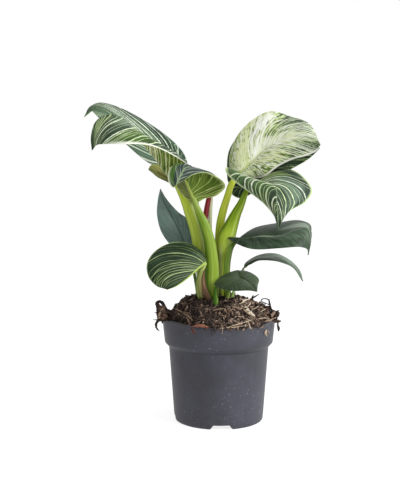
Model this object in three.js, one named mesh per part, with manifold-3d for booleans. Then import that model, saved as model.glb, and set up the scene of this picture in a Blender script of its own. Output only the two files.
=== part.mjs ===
// A Philodendron birkin in its 12 cm nursery pot.
// Millimetres, +Z up. The origin is the centre of the pot's foot, on the surface the pot stands on, and the
// plant's front faces -Y.

import * as THREE from 'three';
import { mergeVertices } from 'three/addons/utils/BufferGeometryUtils.js';
import Module from 'manifold-3d';

const wasm = await Module();
wasm.setup();

// ---------------------------------------------------------------- driving dimensions

const GAP = 0.3; // clearance between pieces that touch

const POT = {
  rimRadius: 60,
  height: 105.4,
  collarRadius: 57.6, // at the collar's lower edge
  collarBottom: 83,
  bodyTopRadius: 53.2, // just under the collar
  bodyTop: 78.5,
  footRadius: 47.3,
  wall: 1.4,
  recess: 4.6, // height of the hollow under the floor
  hubRadius: 12,
  footRingWidth: 7,
  sectors: 48,
};
const NOTCH = { count: 4, width: 24, topWidth: 17, height: 4.2, depth: 12, firstAngle: -1.53 };
const DRAIN = { radius: 4, circle: 30 };

const SOIL = { sectors: 42, rings: 10, crumb: 1.9, lean: 0.07, chips: 24, seed: 7 };
// The heap's height at growing distances from the pot's axis.
const HEAP = [
  [0, 132],
  [14, 132],
  [26, 130],
  [36, 125.5],
  [48, 118],
  [56, 111.8],
  [59.3, 107.4],
];

const BLADE = {
  thickness: 0.8,
  steps: 12,
  acrossHalf: 3,
  keelBase: 1.5, // how far the midrib stands out below, at the base
  keelTip: 0.2,
  ribLag: 1.6, // above 1, the lobes beside the base reach back past it
  stalkGap: 0.4,
};
const STALK = { sides: 8, stepLength: 15, depthRatio: 0.72, endGap: 1.2 };
const ROOTSTOCK = { radius: 17, bottom: 84, top: 119, sectors: 14 };

const COLOURS = {
  pot: '#4a4b52',
  soil: '#3c2d26',
  rootstock: '#8a6a48',
  leaf: '#3f5a48',
  leafPlain: '#465c50',
  leafOlive: '#6f7436',
  leafCream: '#d6dcc0',
  stalkLight: '#a9bb46',
  stalk: '#7da637',
  stalkDark: '#5d7a34',
  spear: '#7d1f2a',
  newLeaf: '#e0d2a8',
  drySheath: '#a98a70',
};

// ---------------------------------------------------------------- solids

function solidOf(geometry) {
  const bare = geometry.index ? geometry.toNonIndexed() : geometry.clone();
  bare.deleteAttribute('normal');
  bare.deleteAttribute('uv');
  const merged = mergeVertices(bare, 1e-4);
  return new wasm.Manifold(
    new wasm.Mesh({
      numProp: 3,
      vertProperties: merged.attributes.position.array,
      triVerts: new Uint32Array(merged.index.array),
    }),
  );
}

function geometryOf(solid) {
  const mesh = solid.getMesh();
  const geometry = new THREE.BufferGeometry();
  geometry.setAttribute('position', new THREE.BufferAttribute(mesh.vertProperties, 3));
  geometry.setIndex(new THREE.BufferAttribute(mesh.triVerts, 1));
  geometry.computeVertexNormals();
  return geometry;
}

function geometryFromTriangles(points, triangles) {
  const geometry = new THREE.BufferGeometry();
  geometry.setAttribute('position', new THREE.Float32BufferAttribute(points.flatMap((p) => p.toArray()), 3));
  geometry.setIndex(triangles);
  return geometry;
}

// A solid together with its copies one step away along each axis: for cutting what has to stay clear of it.
function grown(solid, step) {
  const shifts = [
    [step, 0, 0],
    [-step, 0, 0],
    [0, step, 0],
    [0, -step, 0],
    [0, 0, step],
    [0, 0, -step],
  ];
  return shifts.reduce((all, shift) => all.add(solid.translate(shift)), solid);
}

// The piece that is left when cutting makes loose scraps.
function largestPiece(solid) {
  return solid.decompose().reduce((best, piece) => (piece.volume() > best.volume() ? piece : best));
}

function curveThrough(points) {
  return new THREE.CatmullRomCurve3(
    points.map((p) => new THREE.Vector3(...p)),
    false,
    'centripetal',
  );
}

// Value of a list of [position, value] pairs at x, straight between neighbours.
function lookUp(pairs, x) {
  const next = pairs.findIndex(([at]) => at >= x);
  if (next === -1) return pairs.at(-1)[1];
  if (next === 0) return pairs[0][1];
  const [x0, y0] = pairs[next - 1];
  const [x1, y1] = pairs[next];
  return THREE.MathUtils.mapLinear(x, x0, x1, y0, y1);
}

// Repeatable draws between 0 and 1.
function seededRandom(seed) {
  let state = seed;
  return () => {
    state = (state * 1664525 + 1013904223) % 4294967296;
    return state / 4294967296;
  };
}

// ---------------------------------------------------------------- pot

// Radius of the body's outside at height z, below the collar.
function bodyRadius(z) {
  return THREE.MathUtils.mapLinear(z, 0, POT.bodyTop, POT.footRadius, POT.bodyTopRadius);
}

function innerRadius(z) {
  if (z < POT.bodyTop) return bodyRadius(z) - POT.wall;
  const blend = Math.min(1, (z - POT.bodyTop) / (POT.collarBottom - POT.bodyTop));
  const collar = THREE.MathUtils.mapLinear(z, POT.collarBottom, POT.height, POT.collarRadius, POT.rimRadius);
  return THREE.MathUtils.lerp(POT.bodyTopRadius, collar, blend) - POT.wall;
}

function makePot() {
  const floorTop = POT.recess + POT.wall;
  const ringInner = POT.footRadius - POT.footRingWidth;
  const profile = [
    [0, 0],
    [POT.hubRadius, 0],
    [POT.hubRadius + 1.5, POT.recess],
    [ringInner - 1, POT.recess],
    [ringInner, 0],
    [POT.footRadius - 1.2, 0],
    [bodyRadius(1.4), 1.4],
    [POT.bodyTopRadius, POT.bodyTop],
    [POT.collarRadius, POT.collarBottom],
    [POT.rimRadius, POT.height - 1.2],
    [POT.rimRadius - 0.4, POT.height],
    [POT.rimRadius - POT.wall - 0.4, POT.height],
    [innerRadius(POT.collarBottom), POT.collarBottom],
    [innerRadius(POT.bodyTop), POT.bodyTop],
    [innerRadius(floorTop), floorTop],
    [POT.hubRadius, floorTop],
    [POT.hubRadius - 1.5, POT.wall],
    [0, POT.wall],
  ].map(([r, z]) => new THREE.Vector2(r, z));
  const lathe = new THREE.LatheGeometry(profile, POT.sectors).rotateX(Math.PI / 2);
  let pot = solidOf(lathe);
  for (let i = 0; i < NOTCH.count; i++) {
    const angle = NOTCH.firstAngle + (i * 2 * Math.PI) / NOTCH.count;
    pot = pot.subtract(notchCutter(angle)).subtract(drainCutter(angle));
  }
  return pot;
}

// A notch through the foot ring: a trapezoid that is wider at the bottom.
function notchCutter(angle) {
  const outline = new THREE.Shape([
    new THREE.Vector2(-NOTCH.width / 2, -1),
    new THREE.Vector2(NOTCH.width / 2, -1),
    new THREE.Vector2(NOTCH.topWidth / 2, NOTCH.height),
    new THREE.Vector2(-NOTCH.topWidth / 2, NOTCH.height),
  ]);
  const bar = new THREE.ExtrudeGeometry(outline, { depth: NOTCH.depth, bevelEnabled: false });
  bar.rotateX(Math.PI / 2);
  bar.translate(0, POT.footRadius + 2, 0);
  bar.rotateZ(angle - Math.PI / 2);
  return solidOf(bar);
}

function drainCutter(angle) {
  const cutter = new THREE.CylinderGeometry(DRAIN.radius, DRAIN.radius, 8, 12).rotateX(Math.PI / 2);
  cutter.translate(DRAIN.circle * Math.cos(angle), DRAIN.circle * Math.sin(angle), POT.recess);
  return solidOf(cutter);
}

// ---------------------------------------------------------------- leaf blades

// Each blade is drawn by three curves from its base to its tip: the midrib and the two margins, left and right
// as seen from above the upper face with the tip ahead. arch is how far each half bulges towards the upper face.
const BLADES = {
  far_left: {
    colour: 'leaf',
    rib: [[-35, 62, 271], [-56, 66, 289], [-86, 64, 310], [-118, 56, 332], [-136, 46, 339], [-148, 36, 326]],
    left: [
      [-35, 62, 271], [-43, 62, 264], [-58, 60, 268], [-79, 54, 277], [-102, 48, 296], [-118, 44, 312],
      [-135, 42, 328], [-142, 40, 334], [-148, 36, 326],
    ],
    right: [
      [-35, 62, 271], [-34, 67, 275], [-40, 76, 291], [-65, 84, 315], [-111, 80, 342], [-131, 64, 346],
      [-143, 50, 340], [-148, 36, 326],
    ],
    arch: [3, 3],
  },
  upper_left: {
    colour: 'leaf',
    rib: [
      [-34, 40, 273], [-53, 28, 288], [-74, 14, 299], [-91, 4, 312], [-104, -4, 321], [-118, -11, 322],
      [-128, -17, 313], [-132, -20, 298], [-131, -20, 284],
    ],
    left: [
      [-34, 40, 273], [-35, 32, 274], [-46, 8, 280], [-62, -8, 287], [-75, -18, 290], [-96, -26, 290],
      [-117, -26, 290], [-126, -23, 289], [-131, -20, 284],
    ],
    right: [
      [-34, 40, 273], [-45, 38, 262], [-56, 38, 261], [-67, 36, 275], [-80, 32, 292], [-93, 26, 306],
      [-108, 15, 315], [-122, 2, 314], [-128, -12, 302], [-131, -20, 284],
    ],
    arch: [3, 3],
  },
  arched: {
    colour: 'leaf',
    rib: [[-45, -14, 248], [-40, 0, 260], [-36, 12, 268], [-30, 22, 270], [-24, 32, 267], [-19, 40, 262]],
    left: [
      [-45, -14, 248], [-48, -13, 246], [-53, -4, 253], [-54, 6, 263], [-51, 15, 270], [-43, 25, 273],
      [-31, 34, 270], [-19, 40, 262],
    ],
    right: [
      [-45, -14, 248], [-35, -8, 247], [-18, 2, 249], [-4, 12, 254], [0, 22, 259], [-6, 33, 262],
      [-19, 40, 262],
    ],
    arch: [2, 2],
  },
  olive: {
    colour: 'leafOlive',
    rib: [[-38, 44, 246], [-51, 48, 256], [-65, 49, 265], [-78, 47, 269]],
    left: [[-38, 44, 246], [-39, 50, 256], [-54, 53, 268], [-69, 52, 275], [-76, 49, 273], [-78, 47, 269]],
    right: [[-38, 44, 246], [-44, 41, 249], [-55, 41, 255], [-67, 43, 260], [-75, 45, 266], [-78, 47, 269]],
    arch: [2, 2],
  },
  cream: {
    colour: 'leafCream',
    rib: [
      [21, 9, 261], [33, 9, 272], [46, 9, 285], [61, 6, 295], [77, 0, 300], [92, -8, 296], [105, -14, 290],
    ],
    left: [
      [21, 9, 261], [15, 13, 260], [12, 18, 270], [13, 22, 285], [21, 26, 304], [36, 30, 321], [57, 30, 331],
      [79, 24, 325], [97, 10, 315], [103, -6, 299], [105, -14, 290],
    ],
    right: [
      [21, 9, 261], [27, 8, 259], [35, 6, 257], [41, 4, 257], [48, 0, 258], [63, -4, 269], [78, -8, 276],
      [93, -12, 280], [102, -14, 285], [105, -14, 290],
    ],
    arch: [4, 3],
  },
  behind_cream: {
    colour: 'leaf',
    rib: [[30, 36, 245], [50, 42, 266], [74, 40, 280], [94, 32, 288], [110, 18, 290]],
    left: [
      [30, 36, 245], [20, 40, 247], [12, 41, 253], [10, 42, 268], [13, 46, 291], [27, 50, 309], [52, 50, 317],
      [78, 44, 313], [98, 32, 303], [110, 18, 290],
    ],
    right: [
      [30, 36, 245], [20, 35, 249], [14, 34, 246], [16, 32, 240], [25, 29, 236], [37, 26, 241], [56, 22, 251],
      [77, 20, 266], [93, 18, 275], [102, 17, 282], [110, 18, 290],
    ],
    arch: [3, 3],
  },
  drooping: {
    colour: 'leaf',
    rib: [
      [32, -8, 249], [42, -16, 251], [51, -26, 250], [57, -35, 245], [57, -43, 231], [58, -47, 215],
      [58, -47, 204],
    ],
    left: [
      [32, -8, 249], [37, 2, 246], [47, 12, 249], [58, 18, 257], [67, 17, 266], [75, 15, 267], [86, 8, 262],
      [95, -6, 250], [96, -16, 241], [87, -27, 230], [71, -38, 222], [63, -44, 213], [58, -47, 204],
    ],
    right: [
      [32, -8, 249], [31, -3, 255], [18, 0, 262], [8, 0, 268], [7, -4, 263], [18, -11, 251], [32, -22, 240],
      [45, -34, 229], [54, -44, 217], [58, -47, 204],
    ],
    arch: [3, 2],
  },
  plain_right: {
    colour: 'leafPlain',
    rib: [
      [20, -9, 191], [41, -15, 195], [62, -19, 196], [79, -20, 202], [91, -18, 204], [94, -22, 194],
      [91, -27, 176],
    ],
    left: [
      [20, -9, 191], [23, -4, 194], [40, 12, 204], [63, 20, 209], [85, 16, 212], [97, 4, 208],
      [97.5, -8, 200], [94.5, -18, 190], [91, -27, 176],
    ],
    right: [
      [20, -9, 191], [9, -11, 194], [16, -17, 189], [33, -28, 183], [61, -36, 184], [82, -35, 185],
      [90, -30, 182], [91, -27, 176],
    ],
    arch: [2, 3],
  },
  narrow: {
    colour: 'leafPlain',
    rib: [[27, 6, 161], [36, 8, 168], [49, 10, 172], [65, 11, 172], [79, 10, 164], [91, 6, 146]],
    left: [[27, 6, 161], [30, 14, 166], [46, 24, 174], [65, 27, 175], [80, 22, 167], [88, 14, 158], [91, 6, 146]],
    right: [[27, 6, 161], [34, -1, 165], [44, -8, 170], [64, -10, 168], [79, -4, 161], [91, 6, 146]],
    arch: [1, 2],
  },
  low_front: {
    colour: 'leafPlain',
    rib: [[21, -28, 153], [25, -38, 151], [31, -50, 147], [36, -60, 142]],
    left: [[21, -28, 153], [25, -18, 160], [33, -20, 158], [40, -32, 152], [38, -46, 147], [36, -60, 142]],
    right: [
      [21, -28, 153], [18, -20, 159], [8, -20, 157], [-2, -24, 151], [-5, -30, 147], [-2, -38, 144],
      [12, -50, 142], [27, -58, 143], [36, -60, 142],
    ],
    arch: [2, 3],
  },
  plain_left: {
    colour: 'leafPlain',
    rib: [[-30, 14, 172], [-39, 20, 192], [-51, 23, 217], [-59, 22, 233], [-63, 18, 246]],
    left: [
      [-30, 14, 172], [-41, 16, 176], [-54, 19, 187], [-63, 21, 201], [-67, 22, 220], [-66, 21, 234],
      [-63, 18, 246],
    ],
    right: [
      [-30, 14, 172], [-24, 10, 180], [-24, 12, 195], [-32, 16, 212], [-45, 20, 222], [-57, 20, 236],
      [-63, 18, 246],
    ],
    arch: [2, 2],
  },
  lower_left: {
    colour: 'leaf',
    rib: [[-14, -20, 168], [-24, -30, 160], [-34, -39, 152], [-44, -45, 146], [-53, -46, 143]],
    left: [
      [-14, -20, 168], [-15, -15, 167], [-24, -13, 162], [-35, -9, 158], [-46, -10, 154], [-54, -18, 149],
      [-57, -36, 145], [-53, -46, 143],
    ],
    right: [
      [-14, -20, 168], [-17, -14, 177], [-28, -12, 186], [-41, -14, 189], [-55, -19, 187], [-68, -26, 179],
      [-74, -34, 168], [-72, -41, 155], [-63, -46, 146], [-53, -46, 143],
    ],
    arch: [2, 6],
  },
  underside: {
    colour: 'leaf',
    rib: [[-27, -16, 234], [-31, -29, 243], [-34, -44, 250], [-35, -58, 252]],
    left: [
      [-27, -16, 234], [-23, -13, 231], [-14, -8, 235], [-3, -6, 238], [6, -9, 246], [4, -19, 252],
      [-7, -34, 258], [-17, -45, 260], [-27, -54, 257], [-35, -58, 252],
    ],
    right: [[-27, -16, 234], [-34, -17, 235], [-41, -25, 242], [-44, -38, 247], [-40, -50, 250], [-35, -58, 252]],
    arch: [3, 1],
  },
};

// The blade's middle surface at u from base to tip and v from -1 at the left margin to 1 at the right one.
function bladePoint(curves, arch, u, v) {
  const ribAt = u ** BLADE.ribLag;
  const rib = curves.rib.getPoint(ribAt);
  if (v === 0) return rib;
  const margin = (v < 0 ? curves.left : curves.right).getPoint(u);
  const across = margin.clone().sub(rib);
  const ahead = curves.rib.getTangent(Math.min(0.999, Math.max(0.001, ribAt)));
  const rightward = across.clone().normalize().multiplyScalar(Math.sign(v));
  const up = rightward.cross(ahead);
  const w = Math.abs(v);
  const rise = (v < 0 ? arch[0] : arch[1]) * 4 * w * (1 - w) * Math.sqrt(Math.sin(Math.PI * u));
  return rib.addScaledVector(across, w).addScaledVector(up, rise);
}

// One face's points: the base, then a row across the blade for each step, then the tip.
function bladeFacePoints(blade) {
  const curves = {
    rib: curveThrough(blade.rib),
    left: curveThrough(blade.left),
    right: curveThrough(blade.right),
  };
  const points = [curves.rib.getPoint(0)];
  for (let i = 1; i < BLADE.steps; i++) {
    for (let j = -BLADE.acrossHalf; j <= BLADE.acrossHalf; j++) {
      points.push(bladePoint(curves, blade.arch, i / BLADE.steps, j / BLADE.acrossHalf));
    }
  }
  points.push(curves.rib.getPoint(1));
  return points;
}

// One face's triangles, anticlockwise from above the upper face.
function bladeFaceTriangles() {
  const across = 2 * BLADE.acrossHalf;
  const tip = 1 + (BLADE.steps - 1) * (across + 1);
  const at = (row, column) => 1 + (row - 1) * (across + 1) + column;
  const triangles = [];
  for (let j = 0; j < across; j++) {
    triangles.push([0, at(1, j + 1), at(1, j)]);
    for (let i = 1; i < BLADE.steps - 1; i++) {
      const corners = [at(i, j), at(i, j + 1), at(i + 1, j + 1), at(i + 1, j)];
      const leftHalf = j < BLADE.acrossHalf;
      if (leftHalf) triangles.push([corners[0], corners[1], corners[3]], [corners[1], corners[2], corners[3]]);
      else triangles.push([corners[0], corners[1], corners[2]], [corners[0], corners[2], corners[3]]);
    }
    triangles.push([at(BLADE.steps - 1, j), at(BLADE.steps - 1, j + 1), tip]);
  }
  return triangles;
}

// The rim of a face: its margin points in order, from the base along the right margin and back along the left.
function bladeRim() {
  const across = 2 * BLADE.acrossHalf;
  const rows = Array.from({ length: BLADE.steps - 1 }, (_, i) => 1 + i * (across + 1));
  const tip = 1 + (BLADE.steps - 1) * (across + 1);
  return [0, ...rows.map((row) => row + across), tip, ...rows.reverse()];
}

// A closed blade: the upper and the lower face, split into triangles alike, and the rim between them.
function bladeSolid(blade) {
  const middle = bladeFacePoints(blade);
  const triangles = bladeFaceTriangles();
  const face = geometryFromTriangles(middle, triangles.flat());
  face.computeVertexNormals();
  const normals = middle.map((_, i) => new THREE.Vector3().fromBufferAttribute(face.attributes.normal, i));
  const half = BLADE.thickness / 2;
  const across = 2 * BLADE.acrossHalf + 1;
  const keelAt = (i) => {
    const onRib = i > 0 && i < middle.length - 1 && (i - 1) % across === BLADE.acrossHalf;
    const row = Math.floor((i - 1) / across) + 1;
    return onRib ? THREE.MathUtils.lerp(BLADE.keelBase, BLADE.keelTip, row / BLADE.steps) : 0;
  };
  const upper = middle.map((p, i) => p.clone().addScaledVector(normals[i], half));
  const lower = middle.map((p, i) => p.clone().addScaledVector(normals[i], -half - keelAt(i)));
  const shift = middle.length;
  const all = [...triangles, ...triangles.map(([a, b, c]) => [a + shift, c + shift, b + shift])];
  const rim = bladeRim();
  rim.forEach((from, k) => {
    const to = rim[(k + 1) % rim.length];
    all.push([from, from + shift, to], [to, from + shift, to + shift]);
  });
  return solidOf(geometryFromTriangles([...upper, ...lower], all.flat()));
}

// ---------------------------------------------------------------- stalks and shoots

// Each stalk is a path up from the rootstock and its width at even steps along it. depthRatio flattens it.
const STALKS = {
  far_left: {
    colour: 'stalk',
    path: [
      [-3, 14, 112], [-6, 17, 163], [-12, 22, 188], [-19, 32, 212], [-24, 44, 234], [-30, 56, 255], [-35, 62, 271],
    ],
    widths: [4.5, 4.5, 4, 3.5, 3],
  },
  upper_left: {
    colour: 'stalk',
    path: [
      [-5, 9, 112], [-9, 10, 164], [-13, 14, 188], [-21, 22, 213], [-26, 31, 234], [-31, 38, 257], [-34, 40, 273],
    ],
    widths: [4.5, 4.5, 4, 3.5, 3],
  },
  arched: {
    colour: 'stalkLight',
    path: [
      [-15, 0, 112], [-17, 0, 127], [-18, -3, 149], [-20, -4, 175], [-24, -4, 202], [-31, -6, 221],
      [-36, -9, 233], [-42, -13, 244], [-45, -14, 248],
    ],
    widths: [7, 8, 10.5, 13, 13, 11, 9, 6, 4],
  },
  olive: {
    colour: 'stalkDark',
    path: [[-10, 13, 112], [-13, 24, 163], [-18, 30, 184], [-24, 36, 203], [-32, 42, 225], [-38, 44, 246]],
    widths: [4, 4, 3.6, 3.2, 2.6],
  },
  cream: {
    colour: 'stalkLight',
    path: [
      [1, 8, 112], [1, 8, 126], [0, 8, 153], [-1, 8, 185], [1, 8, 208], [4, 8, 222], [9, 8, 237], [14, 9, 251],
      [21, 9, 261],
    ],
    widths: [6, 7, 7, 7, 7, 7, 7, 6.6, 4],
  },
  behind_cream: {
    colour: 'stalk',
    path: [[6, 14, 112], [8, 20, 163], [13, 27, 190], [19, 33, 217], [25, 35, 231], [30, 36, 245]],
    widths: [4.5, 4.5, 4, 3.5, 3],
  },
  drooping: {
    colour: 'stalk',
    path: [
      [4, -3, 112], [4, -3, 127], [4.5, -2, 154], [6, -2, 172], [9, -2, 186], [11, -3, 197], [13.5, -4, 206],
      [18, -5, 218], [23, -7, 229], [28, -8, 241], [32, -8, 249],
    ],
    widths: [5, 5, 7, 10, 15, 16, 14, 10.5, 8, 5.5, 4],
  },
  plain_right: {
    colour: 'stalkDark',
    path: [[9, -11, 112], [9, -12, 128], [8, -13, 155], [10, -13, 175], [14, -11, 185], [20, -9, 191]],
    widths: [6.5, 7, 7, 6.5, 4.5, 2.6],
  },
  narrow: {
    colour: 'stalkDark',
    path: [[14, -2, 112], [16, -2, 127], [18, 1, 140], [23, 4, 151], [27, 6, 161]],
    widths: [3.4, 3.2, 3, 2.6, 2],
  },
  low_front: {
    colour: 'stalk',
    path: [[9, -15, 112], [10, -21, 127], [12, -24, 137], [16, -26, 146], [21, -28, 153]],
    widths: [3.4, 3.4, 3, 2.6, 2],
  },
  plain_left: {
    colour: 'stalkDark',
    path: [[-14, 8, 112], [-21, 11, 125], [-24, 13, 142], [-27, 14, 158], [-30, 14, 172]],
    widths: [4, 4, 3.6, 3.2, 2.6],
  },
  lower_left: {
    colour: 'stalk',
    path: [[-14, -9, 112], [-21, -12, 128], [-22, -14, 143], [-19, -17, 156], [-14, -20, 168]],
    widths: [4.5, 5, 4.5, 4, 3],
  },
  underside: {
    colour: 'stalk',
    path: [
      [-6, -8, 112], [-6, -9, 128], [-6, -13, 149], [-7, -15, 168], [-10, -16, 189], [-15, -16, 206],
      [-22, -16, 222], [-27, -16, 234],
    ],
    widths: [8, 10, 14, 13, 12, 10, 5.5, 4],
  },
};

// Shoots that carry no open blade.
const SHOOTS = {
  red_sheath: {
    colour: 'spear',
    path: [
      [-9.5, 0, 112], [-11, 1, 150], [-13, 1, 180], [-15, 0, 199], [-15, 0, 214], [-13, 0, 226], [-10, 0, 237],
      [-7, 1, 253],
    ],
    widths: [3.2, 3.6, 4, 4.5, 4.8, 4.8, 4.2, 1.6],
  },
  new_leaf: {
    colour: 'newLeaf',
    path: [[-8.5, 4.5, 112], [-7.5, 4, 150], [-8, 4, 199], [-8, 4, 214], [-8, 4, 228], [-6, 5, 246]],
    widths: [2.6, 3, 3, 3, 2.8, 1.2],
  },
  dry_sheath: {
    colour: 'drySheath',
    path: [[-9, -15, 116], [-11, -18, 129], [-14, -20, 145], [-17, -22, 158]],
    widths: [6.5, 6, 5, 1.6],
  },
  bud: {
    colour: 'stalk',
    path: [[-2, -16, 112], [-2, -24, 124], [-3, -24, 134], [-4, -23, 142]],
    widths: [4, 5, 5, 2],
  },
};

// A closed stalk with an oval section, wide across the view from the front. spare makes it thicker and longer.
function stalkSolid(stalk, spare = 0) {
  const curve = curveThrough(stalk.path);
  const steps = Math.max(4, Math.round(curve.getLength() / STALK.stepLength));
  const widthPairs = stalk.widths.map((width, i) => [i / (stalk.widths.length - 1), width]);
  const points = [];
  for (let i = 0; i <= steps; i++) {
    const t = i / steps;
    const along = curve.getTangent(t);
    const wide = new THREE.Vector3(0, 1, 0).cross(along).normalize();
    const deep = along.clone().cross(wide);
    const endShift = (i === steps ? spare - STALK.endGap : 0) - (i === 0 ? spare : 0);
    const centre = curve.getPoint(t).addScaledVector(along, endShift);
    const halfWidth = lookUp(widthPairs, t) / 2;
    for (let k = 0; k < STALK.sides; k++) {
      const angle = (2 * Math.PI * (k + 0.5)) / STALK.sides;
      points.push(
        centre
          .clone()
          .addScaledVector(wide, (halfWidth + spare) * Math.cos(angle))
          .addScaledVector(deep, (halfWidth * STALK.depthRatio + spare) * Math.sin(angle)),
      );
    }
  }
  return solidOf(geometryFromTriangles(points, tubeTriangles(steps, STALK.sides)));
}

// Triangles of a tube of rings, each with the given number of sides, closed by a fan at both ends.
function tubeTriangles(steps, sides) {
  const triangles = [];
  for (let i = 0; i < steps; i++) {
    for (let k = 0; k < sides; k++) {
      const a = i * sides + k;
      const b = i * sides + ((k + 1) % sides);
      triangles.push(a, b, a + sides, b, b + sides, a + sides);
    }
  }
  for (let k = 1; k < sides - 1; k++) {
    triangles.push(0, k + 1, k);
    triangles.push(steps * sides, steps * sides + k, steps * sides + k + 1);
  }
  return triangles;
}

function rootstockSolid(spare = 0) {
  const { radius, bottom, top, sectors } = ROOTSTOCK;
  const middle = (bottom + top) / 2;
  const profile = [
    [0, bottom - spare],
    [radius * 0.55 + spare, bottom - spare],
    [radius * 0.9 + spare, bottom + 9],
    [radius + spare, middle + 4],
    [radius * 0.86 + spare, top - 3],
    [radius * 0.6 + spare, top + spare],
    [0, top + spare],
  ].map(([r, z]) => new THREE.Vector2(r, z));
  const lathe = new THREE.LatheGeometry(profile, sectors).rotateX(Math.PI / 2);
  lathe.scale(1.15, 1.05, 1);
  lathe.translate(-2, 0, 0);
  return solidOf(lathe);
}

// ---------------------------------------------------------------- soil

// Lumps and hollows of the soil's surface, by a sum of waves across it.
function crumb(x, y) {
  const coarse = Math.sin(x * 0.31 + 1.3 * Math.sin(y * 0.17)) * Math.cos(y * 0.29 + 0.8 * Math.sin(x * 0.23));
  const fine = Math.sin(x * 0.83 - y * 0.41) * Math.sin(y * 0.77 + x * 0.37);
  return SOIL.crumb * (0.6 * coarse + 0.4 * fine);
}

function heapHeight(x, y) {
  const radius = Math.hypot(x, y);
  const calm = THREE.MathUtils.clamp((HEAP.at(-1)[0] - radius) / 6, 0, 1);
  return lookUp(HEAP, radius) + (crumb(x, y) - SOIL.lean * x) * calm;
}

// The soil fills the pot a gap away from its wall, lies on the rim, and heaps up to the stalks.
function soilBody() {
  const floor = POT.recess + POT.wall + GAP;
  const clear = (z) => innerRadius(z) - GAP;
  const overRim = POT.height + GAP;
  const edge = HEAP.at(-1)[0];
  const rings = [
    [clear(floor), floor],
    [clear(POT.bodyTop), POT.bodyTop],
    [clear(POT.collarBottom), POT.collarBottom],
    [clear(POT.height) - 0.5, overRim],
    [edge - 0.4, overRim],
  ];
  const heapRings = SOIL.rings;
  const points = [];
  const ringPoint = (radius, k) => {
    const angle = (2 * Math.PI * k) / SOIL.sectors;
    return [radius * Math.cos(angle), radius * Math.sin(angle)];
  };
  for (const [radius, z] of rings) {
    for (let k = 0; k < SOIL.sectors; k++) points.push(new THREE.Vector3(...ringPoint(radius, k), z));
  }
  for (let i = 0; i < heapRings; i++) {
    for (let k = 0; k < SOIL.sectors; k++) {
      const [x, y] = ringPoint(edge * (1 - i / heapRings), k);
      points.push(new THREE.Vector3(x, y, heapHeight(x, y)));
    }
  }
  const ringCount = rings.length + heapRings;
  const bottomCentre = points.length;
  points.push(new THREE.Vector3(0, 0, floor), new THREE.Vector3(0, 0, heapHeight(0, 0)));
  const triangles = [];
  for (let k = 0; k < SOIL.sectors; k++) {
    const next = (k + 1) % SOIL.sectors;
    triangles.push(bottomCentre, next, k);
    for (let i = 0; i < ringCount - 1; i++) {
      const a = i * SOIL.sectors + k;
      const b = i * SOIL.sectors + next;
      triangles.push(a, b, a + SOIL.sectors, b, b + SOIL.sectors, a + SOIL.sectors);
    }
    const last = (ringCount - 1) * SOIL.sectors;
    triangles.push(last + k, last + next, bottomCentre + 1);
  }
  return solidOf(geometryFromTriangles(points, triangles));
}

// A chip of bark or a lump: a small block turned any way and sunk half into the heap.
function soilChip(random) {
  const radius = 16 + 37 * Math.sqrt(random());
  const angle = 2 * Math.PI * random();
  const chip = new THREE.BoxGeometry(4 + 6 * random(), 2.5 + 2.5 * random(), 2 + 1.6 * random());
  chip.rotateX(0.7 * (random() - 0.5));
  chip.rotateY(0.7 * (random() - 0.5));
  chip.rotateZ(Math.PI * random());
  const x = radius * Math.cos(angle);
  const y = radius * Math.sin(angle);
  chip.translate(x, y, heapHeight(x, y) + 0.2);
  return solidOf(chip);
}

// The bark piece at the left: it lies in the heap, reaches over the rim and ends in a hanging strip.
function barkOverRim() {
  const lump = new THREE.IcosahedronGeometry(5.5, 1).scale(1.1, 0.9, 1.35).rotateY(0.5);
  lump.translate(-57.5, -4, 115);
  const curl = {
    path: [[-57, -4, 116], [-61, -4, 121], [-63.5, -5, 125.5], [-66, -6, 125.5], [-67.5, -6, 122]],
    widths: [6, 5, 4.5, 3.5, 2.2],
  };
  const strip = {
    path: [[-58, -6, 114], [-64.5, -8, 110], [-66.5, -9, 102], [-66, -10, 96], [-63.8, -10, 92]],
    widths: [6, 5, 4, 3.4, 2],
  };
  return solidOf(lump).add(stalkSolid(curl)).add(stalkSolid(strip));
}

// The small crumb that hangs over the rim at the right.
function crumbOverRim() {
  const strip = {
    path: [[53, -8, 112], [59.8, -9, 109.5], [62.6, -10, 103], [62.8, -10, 96]],
    widths: [5, 4, 3.6, 3],
  };
  return stalkSolid(strip);
}

function makeSoil(standing) {
  const random = seededRandom(SOIL.seed);
  let soil = soilBody();
  for (let i = 0; i < SOIL.chips; i++) soil = soil.add(soilChip(random));
  soil = soil.add(barkOverRim()).add(crumbOverRim());
  for (const piece of standing) soil = soil.subtract(piece);
  return largestPiece(soil);
}

// ---------------------------------------------------------------- assembly

const plant = new THREE.Group();

function place(name, solid, colour, roughness) {
  const material = new THREE.MeshStandardMaterial({ color: COLOURS[colour], roughness, metalness: 0 });
  const mesh = new THREE.Mesh(geometryOf(solid), material);
  mesh.name = name;
  plant.add(mesh);
}

const potSolid = makePot();
place('pot', potSolid, 'pot', 0.55);
place('rootstock', rootstockSolid(), 'rootstock', 0.8);

for (const [name, blade] of Object.entries(BLADES)) {
  place(`blade_${name}`, bladeSolid(blade), blade.colour, 0.4);
}

const wideRootstock = rootstockSolid(GAP);
const standing = [wideRootstock];
for (const [name, stalk] of Object.entries(STALKS)) {
  const clearOfBlade = grown(bladeSolid(BLADES[name]), BLADE.stalkGap);
  const cut = stalkSolid(stalk).subtract(wideRootstock).subtract(clearOfBlade);
  place(`stalk_${name}`, largestPiece(cut), stalk.colour, 0.45);
  standing.push(stalkSolid(stalk, GAP));
}
for (const [name, shoot] of Object.entries(SHOOTS)) {
  place(name, largestPiece(stalkSolid(shoot).subtract(wideRootstock)), shoot.colour, 0.5);
  standing.push(stalkSolid(shoot, GAP));
}
place('soil', makeSoil(standing), 'soil', 0.95);

export default plant;
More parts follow.
